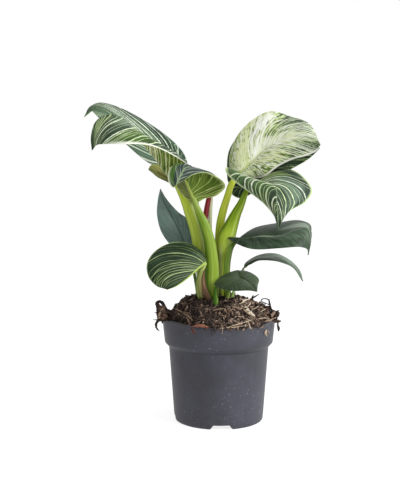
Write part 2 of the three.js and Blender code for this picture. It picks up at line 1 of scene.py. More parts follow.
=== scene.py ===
"""The looks of a Philodendron birkin in its nursery pot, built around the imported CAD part.

Lengths in this file are millimetres in the part's own frame; mm() turns them into Blender's metres.
"""

import math
from functools import partialmethod
from types import SimpleNamespace

import bpy
import numpy as np
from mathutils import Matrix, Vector, noise


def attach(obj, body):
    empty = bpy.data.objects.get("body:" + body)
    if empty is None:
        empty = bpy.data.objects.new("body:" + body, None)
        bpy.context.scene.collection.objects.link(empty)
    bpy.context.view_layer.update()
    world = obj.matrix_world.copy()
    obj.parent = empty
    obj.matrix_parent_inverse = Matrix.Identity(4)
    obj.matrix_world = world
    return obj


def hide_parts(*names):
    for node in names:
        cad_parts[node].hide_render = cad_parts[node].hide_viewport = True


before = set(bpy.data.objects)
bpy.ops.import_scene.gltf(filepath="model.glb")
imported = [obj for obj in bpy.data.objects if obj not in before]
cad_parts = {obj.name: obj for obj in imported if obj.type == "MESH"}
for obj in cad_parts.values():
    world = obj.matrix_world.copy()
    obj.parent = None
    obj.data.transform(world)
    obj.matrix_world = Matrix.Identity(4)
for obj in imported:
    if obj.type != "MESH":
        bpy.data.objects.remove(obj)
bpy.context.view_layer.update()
rng = np.random.default_rng(11)

# ------------------------------------------------------------------ shapes that follow the CAD part

# The pot has the solid's own sizes. Two blades, and most stalks and shoots, were fitted closer to the photo than
# their solids, so they differ from them by up to 4 mm, and the path of stalk_narrow by up to 12 mm.

POT = SimpleNamespace(rim=60.0, height=105.4, collar=57.6, collar_z=83.0, body_top=53.2, body_z=78.5, foot=47.3,
                      wall=1.4, recess=4.6, hub=12.0, foot_ring=7.0)
NOTCH = SimpleNamespace(count=4, width=24.0, top=17.0, height=4.2, first=-1.53)
DRAIN = SimpleNamespace(radius=4.0, circle=30.0)
LEAN = 0.07  # how the heap falls towards the right
RIB_LAG = 1.6  # above 1, the lobes beside a blade's base reach back past it

# For each blade: how far its left and right halves arch up, its midrib from base to tip, and its left and right
# margins between the same two ends, seen from above with the tip ahead.
BLADES = {
    "far_left": ((3, 3), [(-35, 62, 271), (-56, 66, 289), (-86, 64, 310), (-117, 55, 330), (-135, 46, 336),
        (-148, 36, 326)],
        [(-43, 62, 264), (-58, 60, 268), (-79, 54, 277), (-102, 48, 296), (-118, 44, 312), (-135, 42, 328),
        (-142, 40, 334)],
        [(-34, 67, 275), (-40, 76, 291), (-65, 84, 315), (-111, 80, 342), (-131, 64, 346), (-143, 50, 340)]),
    "upper_left": ((3, 3), [(-34, 40, 273), (-53, 28, 288), (-74, 14, 299), (-91, 4, 312), (-104, -4, 321),
        (-118, -11, 322), (-128, -17, 313), (-132, -20, 298), (-131, -20, 284)],
        [(-35, 32, 274), (-46, 8, 280), (-62, -8, 287), (-75, -18, 290), (-96, -26, 290), (-117, -26, 290),
        (-126, -23, 289)],
        [(-45, 38, 262), (-56, 38, 261), (-67, 36, 275), (-80, 32, 292), (-93, 26, 306), (-108, 15, 315),
        (-122, 2, 314), (-128, -12, 302)]),
    "arched": ((2, 2), [(-45, -14, 248), (-40, 0, 260), (-36, 12, 268), (-30, 22, 270), (-24, 32, 267),
        (-19, 40, 262)],
        [(-48, -13, 246), (-53, -4, 253), (-54, 6, 263), (-51, 15, 270), (-43, 25, 273), (-31, 34, 270)],
        [(-35, -8, 247), (-18, 2, 249), (-4, 12, 254), (0, 22, 259), (-6, 33, 262)]),
    "olive": ((2, 2), [(-38, 44, 246), (-51, 48, 256), (-65, 49, 265), (-78, 47, 269)],
        [(-39, 50, 256), (-54, 53, 268), (-69, 52, 275), (-76, 49, 273)],
        [(-44, 41, 249), (-55, 41, 255), (-67, 43, 260), (-75, 45, 266)]),
    "cream": ((4, 3), [(21, 9, 261), (33, 9, 272), (46, 9, 285), (61, 6, 295), (77, 0, 300), (92, -8, 296),
        (105, -14, 290)],
        [(15, 13, 260), (12, 18, 270), (13, 22, 285), (21, 26, 304), (36, 30, 321), (57, 30, 331), (79, 24, 325),
        (97, 10, 315), (103, -6, 299)],
        [(27, 8, 259), (35, 6, 257), (41, 4, 257), (48, 0, 258), (63, -4, 269), (78, -8, 276), (93, -12, 280),
        (102, -14, 285)]),
    "behind_cream": ((3, 3), [(30, 36, 245), (50, 42, 266), (74, 40, 280), (94, 32, 288), (110, 18, 290)],
        [(20, 40, 247), (12, 41, 253), (10, 42, 268), (13, 46, 291), (27, 50, 309), (52, 50, 317), (78, 44, 313),
        (98, 32, 303)],
        [(20, 35, 249), (14, 34, 246), (16, 32, 240), (25, 29, 236), (37, 26, 241), (56, 22, 251), (77, 20, 266),
        (93, 18, 275), (102, 17, 282)]),
    "drooping": ((3, 2), [(32, -8, 249), (42, -16, 251), (51, -26, 250), (57, -35, 245), (57, -43, 231),
        (58, -47, 215), (58, -47, 204)],
        [(37, 2, 246), (47, 12, 249), (58, 18, 257), (67, 17, 266), (75, 15, 267), (86, 8, 262), (95, -6, 250),
        (96, -16, 241), (87, -27, 230), (71, -38, 222), (63, -44, 213)],
        [(31, -3, 255), (18, 0, 262), (8, 0, 268), (7, -4, 263), (18, -11, 251), (32, -22, 240), (45, -34, 229),
        (54, -44, 217)]),
    "plain_right": ((2, 3), [(20, -9, 191), (41, -15, 195), (62, -19, 196), (79, -20, 202), (91, -18, 204),
        (94, -22, 194), (91, -27, 176)],
        [(23, -4, 194), (40, 12, 204), (63, 20, 209), (85, 16, 212), (97, 4, 208), (97.5, -8, 200), (94.5, -18, 190)],
        [(9, -11, 194), (16, -17, 189), (33, -28, 183), (61, -36, 184), (82, -35, 185), (90, -30, 182)]),
    "narrow": ((1, 2), [(27, 6, 161), (36, 8, 168), (49, 10, 172), (65, 11, 172), (79, 10, 164), (91, 6, 146)],
        [(30, 14, 166), (46, 24, 174), (65, 27, 175), (80, 22, 167), (88, 14, 158)],
        [(34, -1, 165), (44, -8, 170), (64, -10, 168), (79, -4, 161)]),
    "low_front": ((2, 3), [(21, -28, 153), (25, -38, 151), (31, -50, 147), (36, -60, 142)],
        [(22, -19, 160), (33, -20, 158), (40, -32, 152), (38, -46, 147)],
        [(21, -19, 160), (8, -20, 157), (-2, -24, 151), (-5, -30, 147), (-2, -38, 144), (12, -50, 142),
        (27, -58, 143)]),
    "plain_left": ((2, 2), [(-30, 14, 172), (-39, 20, 192), (-51, 23, 217), (-59, 22, 233), (-63, 18, 246)],
        [(-41, 16, 176), (-54, 19, 187), (-63, 21, 201), (-67, 22, 220), (-66, 21, 234)],
        [(-24, 10, 180), (-24, 12, 195), (-32, 16, 212), (-45, 20, 222), (-57, 20, 236)]),
    "lower_left": ((2, 6), [(-14, -20, 168), (-24, -30, 160), (-34, -39, 152), (-44, -45, 146), (-53, -46, 143)],
        [(-15, -15, 167), (-24, -13, 162), (-35, -9, 158), (-46, -10, 154), (-54, -18, 149), (-57, -36, 145)],
        [(-17, -14, 177), (-28, -12, 186), (-41, -14, 189), (-55, -19, 187), (-68, -26, 179), (-74, -34, 168),
        (-72, -41, 155), (-63, -46, 146)]),
    "underside": ((3, 1), [(-27, -16, 234), (-31, -29, 243), (-34, -44, 250), (-35, -58, 252)],
        [(-23, -13, 231), (-14, -8, 235), (-3, -6, 238), (6, -9, 246), (4, -19, 252), (-7, -34, 258), (-17, -45, 260),
        (-27, -54, 257)],
        [(-34, -17, 235), (-41, -25, 242), (-44, -38, 247), (-40, -50, 250)]),
}

# Each stalk's path up from the rootstock, and its width at even steps along it.
STALKS = {
    "far_left": ([(-3, 14, 112), (-6, 17, 163), (-12, 22, 188), (-19, 32, 212), (-24, 44, 234), (-30, 56, 255),
        (-35, 62, 271)], [4.5, 4.5, 4, 3.5, 3]),
    "upper_left": ([(-5, 9, 112), (-9, 10, 164), (-13, 14, 188), (-21, 22, 213), (-26, 31, 234), (-31, 38, 257),
        (-34, 40, 273)], [4.5, 4.5, 4, 3.5, 3]),
    "arched": ([(-15, 0, 112), (-17, 0, 127), (-18, -3, 149), (-20, -4, 175), (-24, -4, 202), (-30.4, -6, 221),
        (-35, -9, 233), (-41.5, -13, 244), (-45, -14, 248)], [7, 8, 10.5, 13, 14, 13, 11, 7, 4]),
    "olive": ([(-10, 13, 112), (-13, 24, 163), (-18, 30, 184), (-24, 36, 203), (-32, 42, 225), (-38, 44, 246)],
        [4, 4, 3.6, 3.2, 2.6]),
    "cream": ([(1, 8, 112), (1, 8, 126), (0, 8, 153), (-0.4, 8, 185), (1.8, 8, 208), (4.8, 8, 222), (9.4, 8, 237),
        (14, 9, 251), (21, 9, 261)], [6, 7, 7, 7.6, 8.8, 8.4, 7.6, 6.8, 4]),
    "behind_cream": ([(6, 14, 112), (8, 20, 163), (13, 27, 190), (19, 33, 217), (25, 35, 231), (30, 36, 245)],
        [4.5, 4.5, 4, 3.5, 3]),
    "drooping": ([(3.5, -3, 112), (3.5, -3, 127), (3.6, -2, 154), (4.2, -2.5, 172), (5.8, -3, 186), (9.2, -3.5, 197),
        (12.7, -4, 206), (17.7, -5, 218), (23, -7, 229), (28, -8, 241), (32, -8, 249)],
        [5, 5.5, 7.5, 10, 16.5, 18.4, 15.2, 11.2, 8.4, 5.5, 4]),
    "plain_right": ([(9, -11, 112), (9, -12, 128), (8, -13, 155), (10, -13, 175), (14, -11, 185), (20, -9, 191)],
        [6.5, 7, 7, 6.5, 4.5, 2.6]),
    "narrow": ([(11.5, -12, 112), (13, -13, 128), (17, -6, 140), (23, 3, 151), (27, 6, 161)], [3.6, 3.6, 3, 2.6, 2]),
    "low_front": ([(6, -17, 112), (7.6, -22, 127), (10, -24.5, 137), (14.5, -26, 145), (20, -27.5, 150.2)],
        [3.2, 3.2, 2.8, 2, 0.8]),
    "plain_left": ([(-14, 8, 112), (-21, 11, 125), (-24, 13, 142), (-27, 14, 158), (-30, 14, 172)],
        [4, 4, 3.6, 3.2, 2.6]),
    "lower_left": ([(-14, -9, 112), (-18, -12, 126), (-21, -14, 142), (-19.4, -17, 156), (-14, -20, 168)],
        [6, 7.4, 7.6, 5.6, 3]),
    "underside": ([(-7, -8, 112), (-7, -9, 128), (-7.2, -13, 149), (-7.2, -15, 168), (-10, -16, 189), (-15, -16, 206),
        (-22, -16, 222), (-27.4, -16.6, 236)], [10, 13, 15.5, 13.5, 12, 11, 7.5, 4.5]),
}
SHOOTS = {
    "red_sheath": ([(-9.5, 0, 112), (-11, 1, 150), (-13, 1, 180), (-14.8, 0, 199), (-14.4, 0, 214), (-12.6, 0, 226),
        (-10.4, 0, 237), (-7, 1, 253)], [3.2, 3.6, 4.4, 5.2, 5.6, 5.6, 5, 1.6]),
    "new_leaf": ([(-8.5, 4.5, 112), (-7.8, 4, 150), (-9, 4, 199), (-9.2, 4, 214), (-8.6, 4, 228), (-6, 5, 246)],
        [2.6, 3.2, 3.8, 4.2, 4, 1.4]),
    "dry_sheath": ([(-8.5, -15, 116), (-11, -18, 129), (-15.4, -20, 141), (-16.6, -21, 150), (-16, -22, 160)],
        [6.5, 6.2, 5, 4, 1.6]),
    "bud": ([(-3.8, -26, 114), (-3.8, -29.2, 125), (-3.9, -29.2, 130), (-4, -27.4, 136), (-4.4, -24, 143)],
        [5.4, 7.2, 6.4, 3.8, 3.4]),
}

# ------------------------------------------------------------------ shapes that only the scene has

# How the side veins of each blade's left half, then its right half, run: how much of the margin the veins from the
# very base fan over, how hard the others sweep forward to the tip, and how late they turn.
VEINS = {
    "far_left": (0.5, 3.0, 1.0, 0.0, 3.3, 1.2),
    "upper_left": (0.0, 3.4, 1.6, 0.0, 1.5, 1.2),
    "arched": (0.7, 5.0, 0.7, 0.45, 3.5, 0.8),
    "olive": (0.2, 2.5, 1.0, 0.2, 2.5, 1.0),
    "cream": (0.2, 2.5, 1.1, 0.2, 2.5, 1.1),
    "behind_cream": (0.2, 2.8, 1.2, 0.2, 2.8, 1.2),
    "drooping": (0.2, 3.0, 1.0, 0.1, 3.0, 1.8),
    "plain_right": (0.2, 2.8, 1.1, 0.2, 2.8, 1.1),
    "narrow": (0.1, 2.5, 1.0, 0.1, 2.5, 1.0),
    "low_front": (0.3, 2.5, 1.0, 0.3, 2.5, 1.0),
    "plain_left": (0.3, 2.5, 1.0, 0.3, 2.5, 1.0),
    "lower_left": (0.3, 3.0, 1.0, 0.6, 6.0, 0.8),
    "underside": (0.5, 3.5, 1.0, 0.3, 3.0, 1.0),
}

# Stripes drawn on the left and right half of a blade: where each leaves the midrib, where it reaches the
# margin if not straight across (both as places along the midrib), its width in mm and how pale it is.
BANDS = {
    "far_left": ([(-0.11, 1.0, 0.6), (-0.05, 1.2, 0.9), (0.022, 1.0, 0.8), (0.08, 0.8, 0.6), (0.15, 0.8, 0.6),
        (0.25, 0.8, 0.6)],
        [(0.07, 0.9, 0.9), (0.12, 1.4, 1.0), (0.155, 0.7, 0.8), (0.185, 0.19, 1.4, 1.0), (0.215, 0.5, 0.7),
        (0.245, 1.5, 0.95), (0.275, 0.5, 0.7), (0.305, 0.3, 1.4, 0.95), (0.33, 0.5, 0.7), (0.365, 0.355, 1.0, 1.0),
        (0.41, 0.4, 0.6, 0.8), (0.47, 0.43, 0.7, 0.9), (0.55, 0.5, 0.5, 0.6), (0.64, 0.6, 0.5, 0.5)]),
    "upper_left": ([(0.1, 0.9, 0.9), (0.175, 2.0, 1.0), (0.222, 0.225, 0.7, 0.75), (0.252, 0.25, 1.5, 0.9),
        (0.276, 0.28, 0.5, 0.6), (0.296, 0.3, 0.6, 0.65), (0.318, 0.315, 0.5, 0.6), (0.333, 0.335, 0.7, 0.7),
        (0.357, 0.352, 1.4, 1.0), (0.4, 0.6, 0.35), (0.43, 0.4, 0.4), (0.485, 1.1, 0.85), (0.53, 0.5, 0.5),
        (0.58, 0.9, 0.6), (0.64, 0.6, 0.35)],
        [(0.1, 0.6, 0.5), (0.165, 2.2, 1.0), (0.188, 0.4, 0.7), (0.206, 1.2, 0.95), (0.226, 0.9, 0.9),
        (0.246, 2.0, 1.0), (0.268, 0.9, 0.9), (0.29, 1.8, 1.0), (0.32, 0.9, 0.8), (0.36, 1.2, 0.8), (0.42, 0.9, 0.7),
        (0.5, 1.2, 0.9), (0.58, 0.9, 0.8), (0.66, 0.9, 0.7)]),
    "arched": ([(-0.1, 0.6, 0.5), (0.03, 0.5, 0.6), (0.12, 0.5, 0.55), (0.22, 0.5, 0.5)],
        [(0.02, 0.6, 0.7), (0.09, 0.5, 0.7), (0.17, 0.6, 0.8), (0.26, 0.5, 0.7), (0.36, 0.6, 0.7), (0.5, 0.5, 0.6),
        (0.64, 0.5, 0.6)]),
    "behind_cream": ([(0.05, 0.8, 0.8), (0.15, 0.8, 0.7), (0.27, 0.9, 0.8), (0.4, 0.8, 0.7), (0.55, 0.7, 0.7)],
        [(-0.12, 0.7, 0.8), (-0.02, 0.8, 0.8), (0.08, 0.7, 0.7), (0.16, 1.1, 0.9), (0.24, 0.7, 0.8), (0.33, 1.1, 0.9),
        (0.42, 0.6, 0.8), (0.52, 0.9, 0.9), (0.64, 0.6, 0.8)]),
    "drooping": ([(0.13, 0.14, 0.7, 0.7), (0.18, 0.185, 0.5, 0.6), (0.215, 0.225, 1.1, 0.85), (0.245, 0.25, 0.5, 0.6),
        (0.27, 0.315, 1.2, 1.0), (0.325, 0.33, 0.4, 0.55), (0.352, 0.36, 0.6, 0.7), (0.395, 0.408, 1.2, 1.0),
        (0.44, 0.45, 0.4, 0.6), (0.49, 0.54, 0.9, 0.95), (0.58, 0.6, 0.4, 0.6), (0.66, 0.67, 0.7, 0.9)],
        [(0.18, 1.4, 0.95), (0.205, 0.21, 0.8, 0.8), (0.235, 0.26, 1.5, 1.0), (0.27, 0.285, 0.7, 0.7),
        (0.3, 0.31, 1.4, 1.0), (0.34, 0.345, 0.7, 0.7), (0.385, 1.2, 0.9), (0.43, 0.6, 0.6), (0.475, 1.2, 1.0),
        (0.525, 0.6, 0.75), (0.62, 1.4, 0.85), (0.7, 0.7, 0.7)]),
    "lower_left": ([(0.1, 0.6, 0.6), (0.25, 0.6, 0.6), (0.4, 0.6, 0.6)],
        [(-0.075, 0.5, 0.6), (-0.035, 0.6, 0.65), (-0.012, -0.015, 0.5, 0.6), (0.016, 0.028, 1.2, 1.0),
        (0.045, 0.5, 0.45), (0.062, 0.09, 0.6, 0.6), (0.08, 0.13, 0.9, 0.8), (0.11, 0.16, 0.5, 0.5),
        (0.13, 0.19, 0.7, 0.8), (0.165, 0.22, 0.5, 0.5), (0.2, 0.29, 0.9, 0.95), (0.26, 0.33, 0.4, 0.5),
        (0.32, 0.38, 0.5, 0.6), (0.4, 0.45, 0.4, 0.5)]),
    "underside": ([(-0.1, -0.12, 0.5, 0.5), (-0.05, 0.9, 0.8), (0.0, -0.03, 0.6, 0.8), (0.04, -0.005, 0.4, 0.5),
        (0.08, 0.02, 1.1, 0.9), (0.12, 0.07, 0.4, 0.5), (0.17, 0.11, 1.0, 1.0), (0.22, 0.15, 0.4, 0.5),
        (0.27, 0.2, 0.8, 0.85), (0.33, 0.26, 0.4, 0.4), (0.39, 0.33, 0.7, 0.6), (0.5, 0.45, 0.5, 0.5)],
        [(0.1, 0.5, 0.3), (0.25, 0.5, 0.3), (0.42, 0.5, 0.3)]),
    "cream": ([(0.14, 0.9, 0.4), (0.37, 0.9, 0.7), (0.44, 0.43, 1.1, 0.9), (0.5, 0.8, 0.8), (0.56, 1.0, 0.9),
        (0.63, 0.8, 0.9), (0.7, 0.8, 0.9), (0.78, 0.7, 0.8)],
        [(0.24, 1.0, 0.6), (0.36, 1.0, 0.7), (0.46, 1.0, 0.8), (0.56, 0.8, 0.8)]),
    "cream_flecks": ([(0.07, 1.0, 0.5), (0.15, 1.0, 0.5), (0.205, 1.0, 0.6), (0.238, 1.4, 0.7), (0.335, 1.0, 0.6),
        (0.375, 1.0, 0.7), (0.415, 0.412, 1.3, 1.0), (0.46, 0.455, 1.2, 1.0), (0.497, 0.49, 1.0, 0.9),
        (0.535, 0.53, 1.2, 1.0), (0.585, 0.58, 0.9, 0.9), (0.66, 0.9, 0.9), (0.74, 0.8, 0.9)],
        [(0.09, 1.0, 0.6), (0.15, 1.2, 0.8), (0.21, 1.4, 0.9), (0.27, 1.6, 0.9), (0.33, 1.3, 0.9), (0.39, 0.9, 0.7),
        (0.45, 1.3, 1.0), (0.5, 1.0, 1.0), (0.56, 1.2, 1.0), (0.62, 1.0, 1.0), (0.7, 0.8, 0.9)]),
    "plain_right": ([(0.12, 0.5, 0.5), (0.25, 0.5, 0.5), (0.4, 0.5, 0.5)],
        [(0.05, 0.6, 0.6), (0.18, 0.5, 0.5), (0.32, 0.5, 0.6), (0.48, 0.5, 0.5)]),
}

# Where the thin rim bows up: the direction, half width (both in radians) and height.
BOWS = [(-2.5, 0.4, 3.4), (-0.5, 0.2, 2.6)]

# The heap's height at growing distances from the pot's axis.
SEEN_HEAP = [(0, 132), (14, 131.5), (26, 129), (36, 124.5), (46, 117.5), (53, 111), (56.5, 106.5), (58.6, 103.5)]
# Rises and hollows of the heap: height, middle, and how far it reaches (squared mm).
MOUNDS = [(-5.0, -46, -34, 330), (-1.2, -50, 0, 500), (3.0, 42, 2, 200), (6.0, 53, 2, 60), (3.2, -38, 6, 110),
          (2.0, -22, -6, 60), (1.5, 12, -36, 90), (-2.0, 2, -48, 120)]
# Clods laid one by one: middle, half sizes, tone.
CLODS = [((-60, -7, 116), (4.3, 4.2, 5.4), 0.55), ((-63.4, -8, 118), (2.5, 2.8, 3.8), 0.35), ((-64.6, -7, 122),
    (1.9, 2.4, 2.6), 0.25), ((-58.8, -8.5, 109.4), (5.4, 5, 4), 0.6), ((-56.4, -4, 113), (4.4, 5, 5), 0.2),
    ((57.2, -3, 111), (4.6, 5, 4.2), 0.3), ((61.2, -8, 112.6), (3.2, 3, 3), 0.2), ((52, 2, 117), (4.2, 4, 3), 0.3),
    ((45, 6, 121.4), (3.4, 4, 2.6), 0.25), ((-38, 4, 124.4), (3.6, 4, 3), 0.15), ((-30, 2, 128.4), (3.2, 3.4, 2.6),
    0.1), ((-45, 4, 119.6), (3, 4, 2.6), 0.2), ((28, 2, 127.6), (4, 4, 2.4), 0.2)]
# Bark chips laid one by one: middle, length, width, turn, tone.
LAID = [((-4, -57.4, 106), 6, 2.4, (0.4, 0.2, 0.5), 0.1), ((1, -57, 106.5), 5, 2.2, (-0.3, 0.3, 0.4), 0.25),
    ((24, -22, 124.4), 7, 3, (0.6, -0.5, 0.4), 1.0), ((28, -28, 121.6), 6, 2.8, (-0.4, -0.4, 0.3), 0.95),
    ((31, -33, 117.4), 6, 3.6, (0.9, 0.2, 0.2), 1.15), ((24, -12, 128.4), 6, 2.4, (1.2, -0.3, 0.1), 0.9),
    ((20, -19, 127.4), 4, 2.4, (0.2, 0.3, 0.5), 0.8), ((-62.5, -11.5, 113.4), 5, 2, (0.4, 1.1, 0.3), 0.8),
    ((-60, -11.5, 118), 4, 1.8, (0.2, 0.7, 0.5), 0.7), ((-63, -12, 109.6), 4, 1.6, (-0.4, 0.4, 0.2), 0.85),
    ((-57.5, -13, 111.5), 5, 1.6, (0.3, -0.5, 0.2), 0.6), ((57, -13, 113.5), 8, 3, (0.7, 0.7, 0.5), 0.75),
    ((55, -22, 109), 9, 3, (-0.5, 0.5, 0.2), 0.9), ((50, -30, 108.5), 8, 2.4, (0.3, 0.2, 0.4), 0.8)]
# Strips of bark, roots and straws laid one by one: path, widths, flatness, tone.
HUNG = {
    "hung_dark": [
        ([(-56.4, -5, 114), (-57.4, -6, 119), (-59.4, -6, 123.6), (-62.1, -6, 126), (-65.2, -6, 125.5),
         (-66.4, -6, 123.4), (-65.4, -6, 119)], [5, 4.4, 3.6, 3, 2.6, 2.2, 2.6], 0.6, 0.12),
        ([(-59.6, -10, 109), (-62.6, -12, 107.4), (-65.2, -12, 105), (-66.4, -12, 101.3), (-65.2, -12, 97.7),
         (-62.8, -12, 95.1)], [4, 3.4, 3, 2.8, 2, 0.7], 0.5, 0.15),
        ([(-62, -8, 114.6), (-65, -9, 114.4), (-68.8, -10, 114.2)], [2.8, 1.8, 0.6], 0.7, 0.3),
        ([(-61, -10, 107.6), (-65, -11, 107.2), (-69.4, -12, 107.4)], [2.4, 1.4, 0.5], 0.7, 0.2),
        ([(-60, -8, 120), (-64.2, -8, 117), (-64.4, -9, 111), (-61.4, -10, 107)], [2, 2.6, 2.6, 2], 0.6, 0.4),
        ([(29, 0, 126), (33.6, -2, 127.4), (37.2, -3, 130), (42.6, -4, 133.2)], [2.8, 2.4, 2, 1], 0.7, 0.3),
        ([(33, 1, 127), (36.4, 0, 130.4), (36.8, -1, 132.6)], [2, 1.4, 0.7], 0.7, 0.3),
        ([(53.6, -2, 122), (51.1, -2, 123.3), (47.6, 0, 124.2), (45.4, 1, 126.4), (47.6, 1, 128), (50.8, 0, 128.2),
         (53.2, -1, 126.8), (54.1, -2, 123.4)], [1, 1, 1, 0.9, 1.1, 1.2, 1.3, 1.4], 0.8, 0.0),
        ([(53.8, -1, 128.6), (53.9, -2, 125), (54.6, -3, 121.6), (55.6, -3, 118), (58, -4, 114.4)],
         [0.6, 1.6, 2, 2, 2.2], 0.8, 0.05),
        ([(59, -10, 114), (60.4, -14, 110.4), (61, -16, 106.4), (61.4, -16, 102.6), (62.6, -16, 98.6),
         (61.8, -16, 95.4)], [2.6, 1.6, 1.2, 1.8, 3.4, 0.8], 0.5, 0.3),
        ([(58, -8, 115.6), (61.4, -9, 116), (63.6, -10, 117.2)], [2, 1.4, 0.6], 0.7, 0.35),
        ([(-11.6, -58, 108), (-9.3, -60.6, 104.6), (-8.2, -61.4, 98.6)], [1.3, 1.1, 0.5], 0.8, 0.3),
        ([(-5.7, -58, 108), (-6.2, -60.8, 104.6), (-5.1, -61.2, 101.4)], [1.1, 1, 0.5], 0.8, 0.25),
    ],
    "hung_rust": [
        ([(-28.6, -54.8, 106.6), (-23, -57.2, 107.8), (-17, -58.2, 108), (-12, -58.6, 106.6)], [1.2, 2.8, 3.4, 1.2],
         0.35, 0.75),
        ([(-28.6, -57.6, 105.6), (-26.6, -60.3, 103.2), (-24.4, -60.7, 100.6)], [1.4, 3.4, 1.2], 0.4, 0.2),
    ],
    "hung_straw": [
        ([(5.4, -60.4, 106.2), (17.9, -58.2, 109.8), (31, -53.5, 112.8)], [0.5, 0.8, 0.5], 0.8, 0.75),
        ([(-2, -60.8, 105.8), (14, -59.8, 106.8), (27, -56, 108.2)], [0.4, 0.6, 0.3], 0.8, 0.7),
        ([(-48.4, -6, 118.9), (-43, -18, 118.4), (-37.4, -27, 116.4), (-32, -38, 114.6), (-26.8, -46, 111.2)],
         [0.5, 1.3, 1.1, 1.5, 0.5], 0.7, 0.35),
        ([(-38, -25, 117.4), (-33, -32, 117.6), (-29, -37, 116.6)], [0.4, 0.8, 0.4], 0.7, 0.2),
        ([(24, -20, 127), (29, -16, 129), (34, -12, 130.6)], [0.6, 0.9, 0.5], 0.8, 1.1),
        ([(20.6, -26, 125), (23.4, -24, 127), (25.4, -22, 129.4)], [0.6, 1.0, 0.5], 0.8, 1.0),
        ([(28, -26, 122.4), (31, -24, 124.6), (33, -20, 127.2)], [0.6, 1.1, 0.5], 0.8, 0.9),
        ([(26.6, -31, 120.4), (29.4, -30, 119.8), (32, -31, 117.4)], [1.2, 2.4, 1.4], 0.6, 1.2),
        ([(33.6, -26, 119.8), (38, -22, 121.2), (41, -18, 122.8)], [0.5, 0.9, 0.4], 0.8, 0.7),
        ([(19.7, -27.2, 125.8), (24, -24, 127), (27, -19, 127.6)], [0.8, 1.5, 0.7], 0.5, 0.6),
        ([(24, -16, 128.4), (28, -12, 128.6), (33, -8, 128.2)], [0.8, 1.6, 0.6], 0.5, 0.8),
        ([(25.1, -20.5, 126), (27.6, -27, 122.4), (30, -33, 118.4)], [1, 1.8, 1], 0.5, 0.8),
        ([(30, -32, 119), (33, -35, 116.4), (36, -36, 114.6)], [1.4, 2.8, 1.2], 0.5, 1.1),
        ([(17.5, -34, 122.6), (23, -33, 121.6), (29, -36, 117.4), (35, -37, 113.6)], [0.8, 1.4, 1.6, 0.8], 0.5, 0.6),
        ([(14.3, -38.4, 121), (18, -37, 121.4), (22, -34, 121.4)], [0.7, 1.3, 0.7], 0.6, 0.55),
        ([(42.8, -18.5, 116.2), (47, -12, 117.6), (50, -8, 118.8)], [0.5, 1.0, 0.5], 0.6, 0.65),
        ([(-13.9, -41.5, 120.8), (-12, -40, 118), (-13, -43, 115.4)], [0.8, 1.4, 0.8], 0.6, 0.35),
        ([(-6.8, -43, 121.2), (-1, -42.4, 122.4), (5.2, -40, 123)], [0.8, 1.2, 0.6], 0.6, 0.35),
        ([(47.6, -38.5, 100.6), (46.2, -40, 97.8), (48.6, -39, 94.2)], [1.4, 2.6, 1], 0.3, 0.55),
        ([(49.4, -37, 99.8), (50.8, -37, 96.6)], [1, 0.6], 0.5, 0.5),
        ([(40, -36, 112), (46, -31, 112), (52, -25, 110.5)], [0.7, 0.9, 0.5], 0.6, 0.7),
    ],
}

CLOD_COUNT, CRUMB_COUNT, CHIP_COUNT, PALE_CHIP_COUNT, FIBRE_COUNT = 90, 3400, 820, 34, 2200

# ------------------------------------------------------------------ helpers


def mm(points):
    return np.asarray(points, float) * 0.001


def unit(v):
    return v / np.maximum(np.linalg.norm(v, axis=-1, keepdims=True), 1e-9)


def polar(r, angle):
    return r * math.cos(angle), r * math.sin(angle)


def wave(x, y, z):
    return noise.noise(Vector((x, y, z)))


def curve(points):
    """A centripetal Catmull-Rom curve through the points: a function of t from 0 to 1."""
    p = np.asarray(points, float)
    p = np.vstack([2 * p[0] - p[1], p, 2 * p[-1] - p[-2]])

    def gap(m, n):
        return np.maximum(np.sqrt(np.linalg.norm(n - m, axis=1)), 1e-3)[:, None]

    def at(t):
        t = np.atleast_1d(np.asarray(t, float)) * (len(p) - 3)
        i = np.minimum(t.astype(int), len(p) - 4)
        w = (t - i)[:, None]
        a, b, c, d = p[i], p[i + 1], p[i + 2], p[i + 3]
        g0, g1, g2 = gap(a, b), gap(b, c), gap(c, d)
        m1 = ((b - a) / g0 - (c - a) / (g0 + g1) + (c - b) / g1) * g1
        m2 = ((c - b) / g1 - (d - b) / (g1 + g2) + (d - c) / g2) * g1
        return b + m1 * w + (3 * (c - b) - 2 * m1 - m2) * w ** 2 + (2 * (b - c) + m1 + m2) * w ** 3

    return at


def heading(at, t):
    """The direction of the curve at t."""
    return unit(at(np.minimum(t + 1e-3, 1)) - at(np.maximum(t - 1e-3, 0)))


def make_mesh(name, verts, faces, materials, face_slots=None, uvs=None, smooth=True):
    """A mesh object from points in millimetres. uvs maps a name to one (x, y) for each point."""
    mesh = bpy.data.meshes.new(name)
    mesh.from_pydata(mm(verts).tolist(), [], [tuple(int(i) for i in f) for f in faces])
    for material in materials:
        mesh.materials.append(material)
    if face_slots is not None:
        mesh.polygons.foreach_set("material_index", np.asarray(face_slots, np.int32))
    corner = np.zeros(len(mesh.loops), np.int32)
    mesh.loops.foreach_get("vertex_index", corner)
    for uv_name, values in (uvs or {}).items():
        layer = mesh.uv_layers.new(name=uv_name)
        layer.data.foreach_set("uv", np.asarray(values, np.float32)[corner].ravel())
    mesh.polygons.foreach_set("use_smooth", [smooth] * len(mesh.polygons))
    mesh.update()
    obj = bpy.data.objects.new(name, mesh)
    bpy.context.scene.collection.objects.link(obj)
    return obj


def grid_faces(rows, columns, first=0, closed=False, flip=False):
    """Quads between neighbouring rows of points; closed joins the last column to the first."""
    faces = []
    for i in range(rows - 1):
        for j in range(columns if closed else columns - 1):
            near, far = first + i * columns, first + (i + 1) * columns
            k = (j + 1) % columns
            quad = (near + j, near + k, far + k, far + j)
            faces.append(quad[::-1] if flip else quad)
    return faces


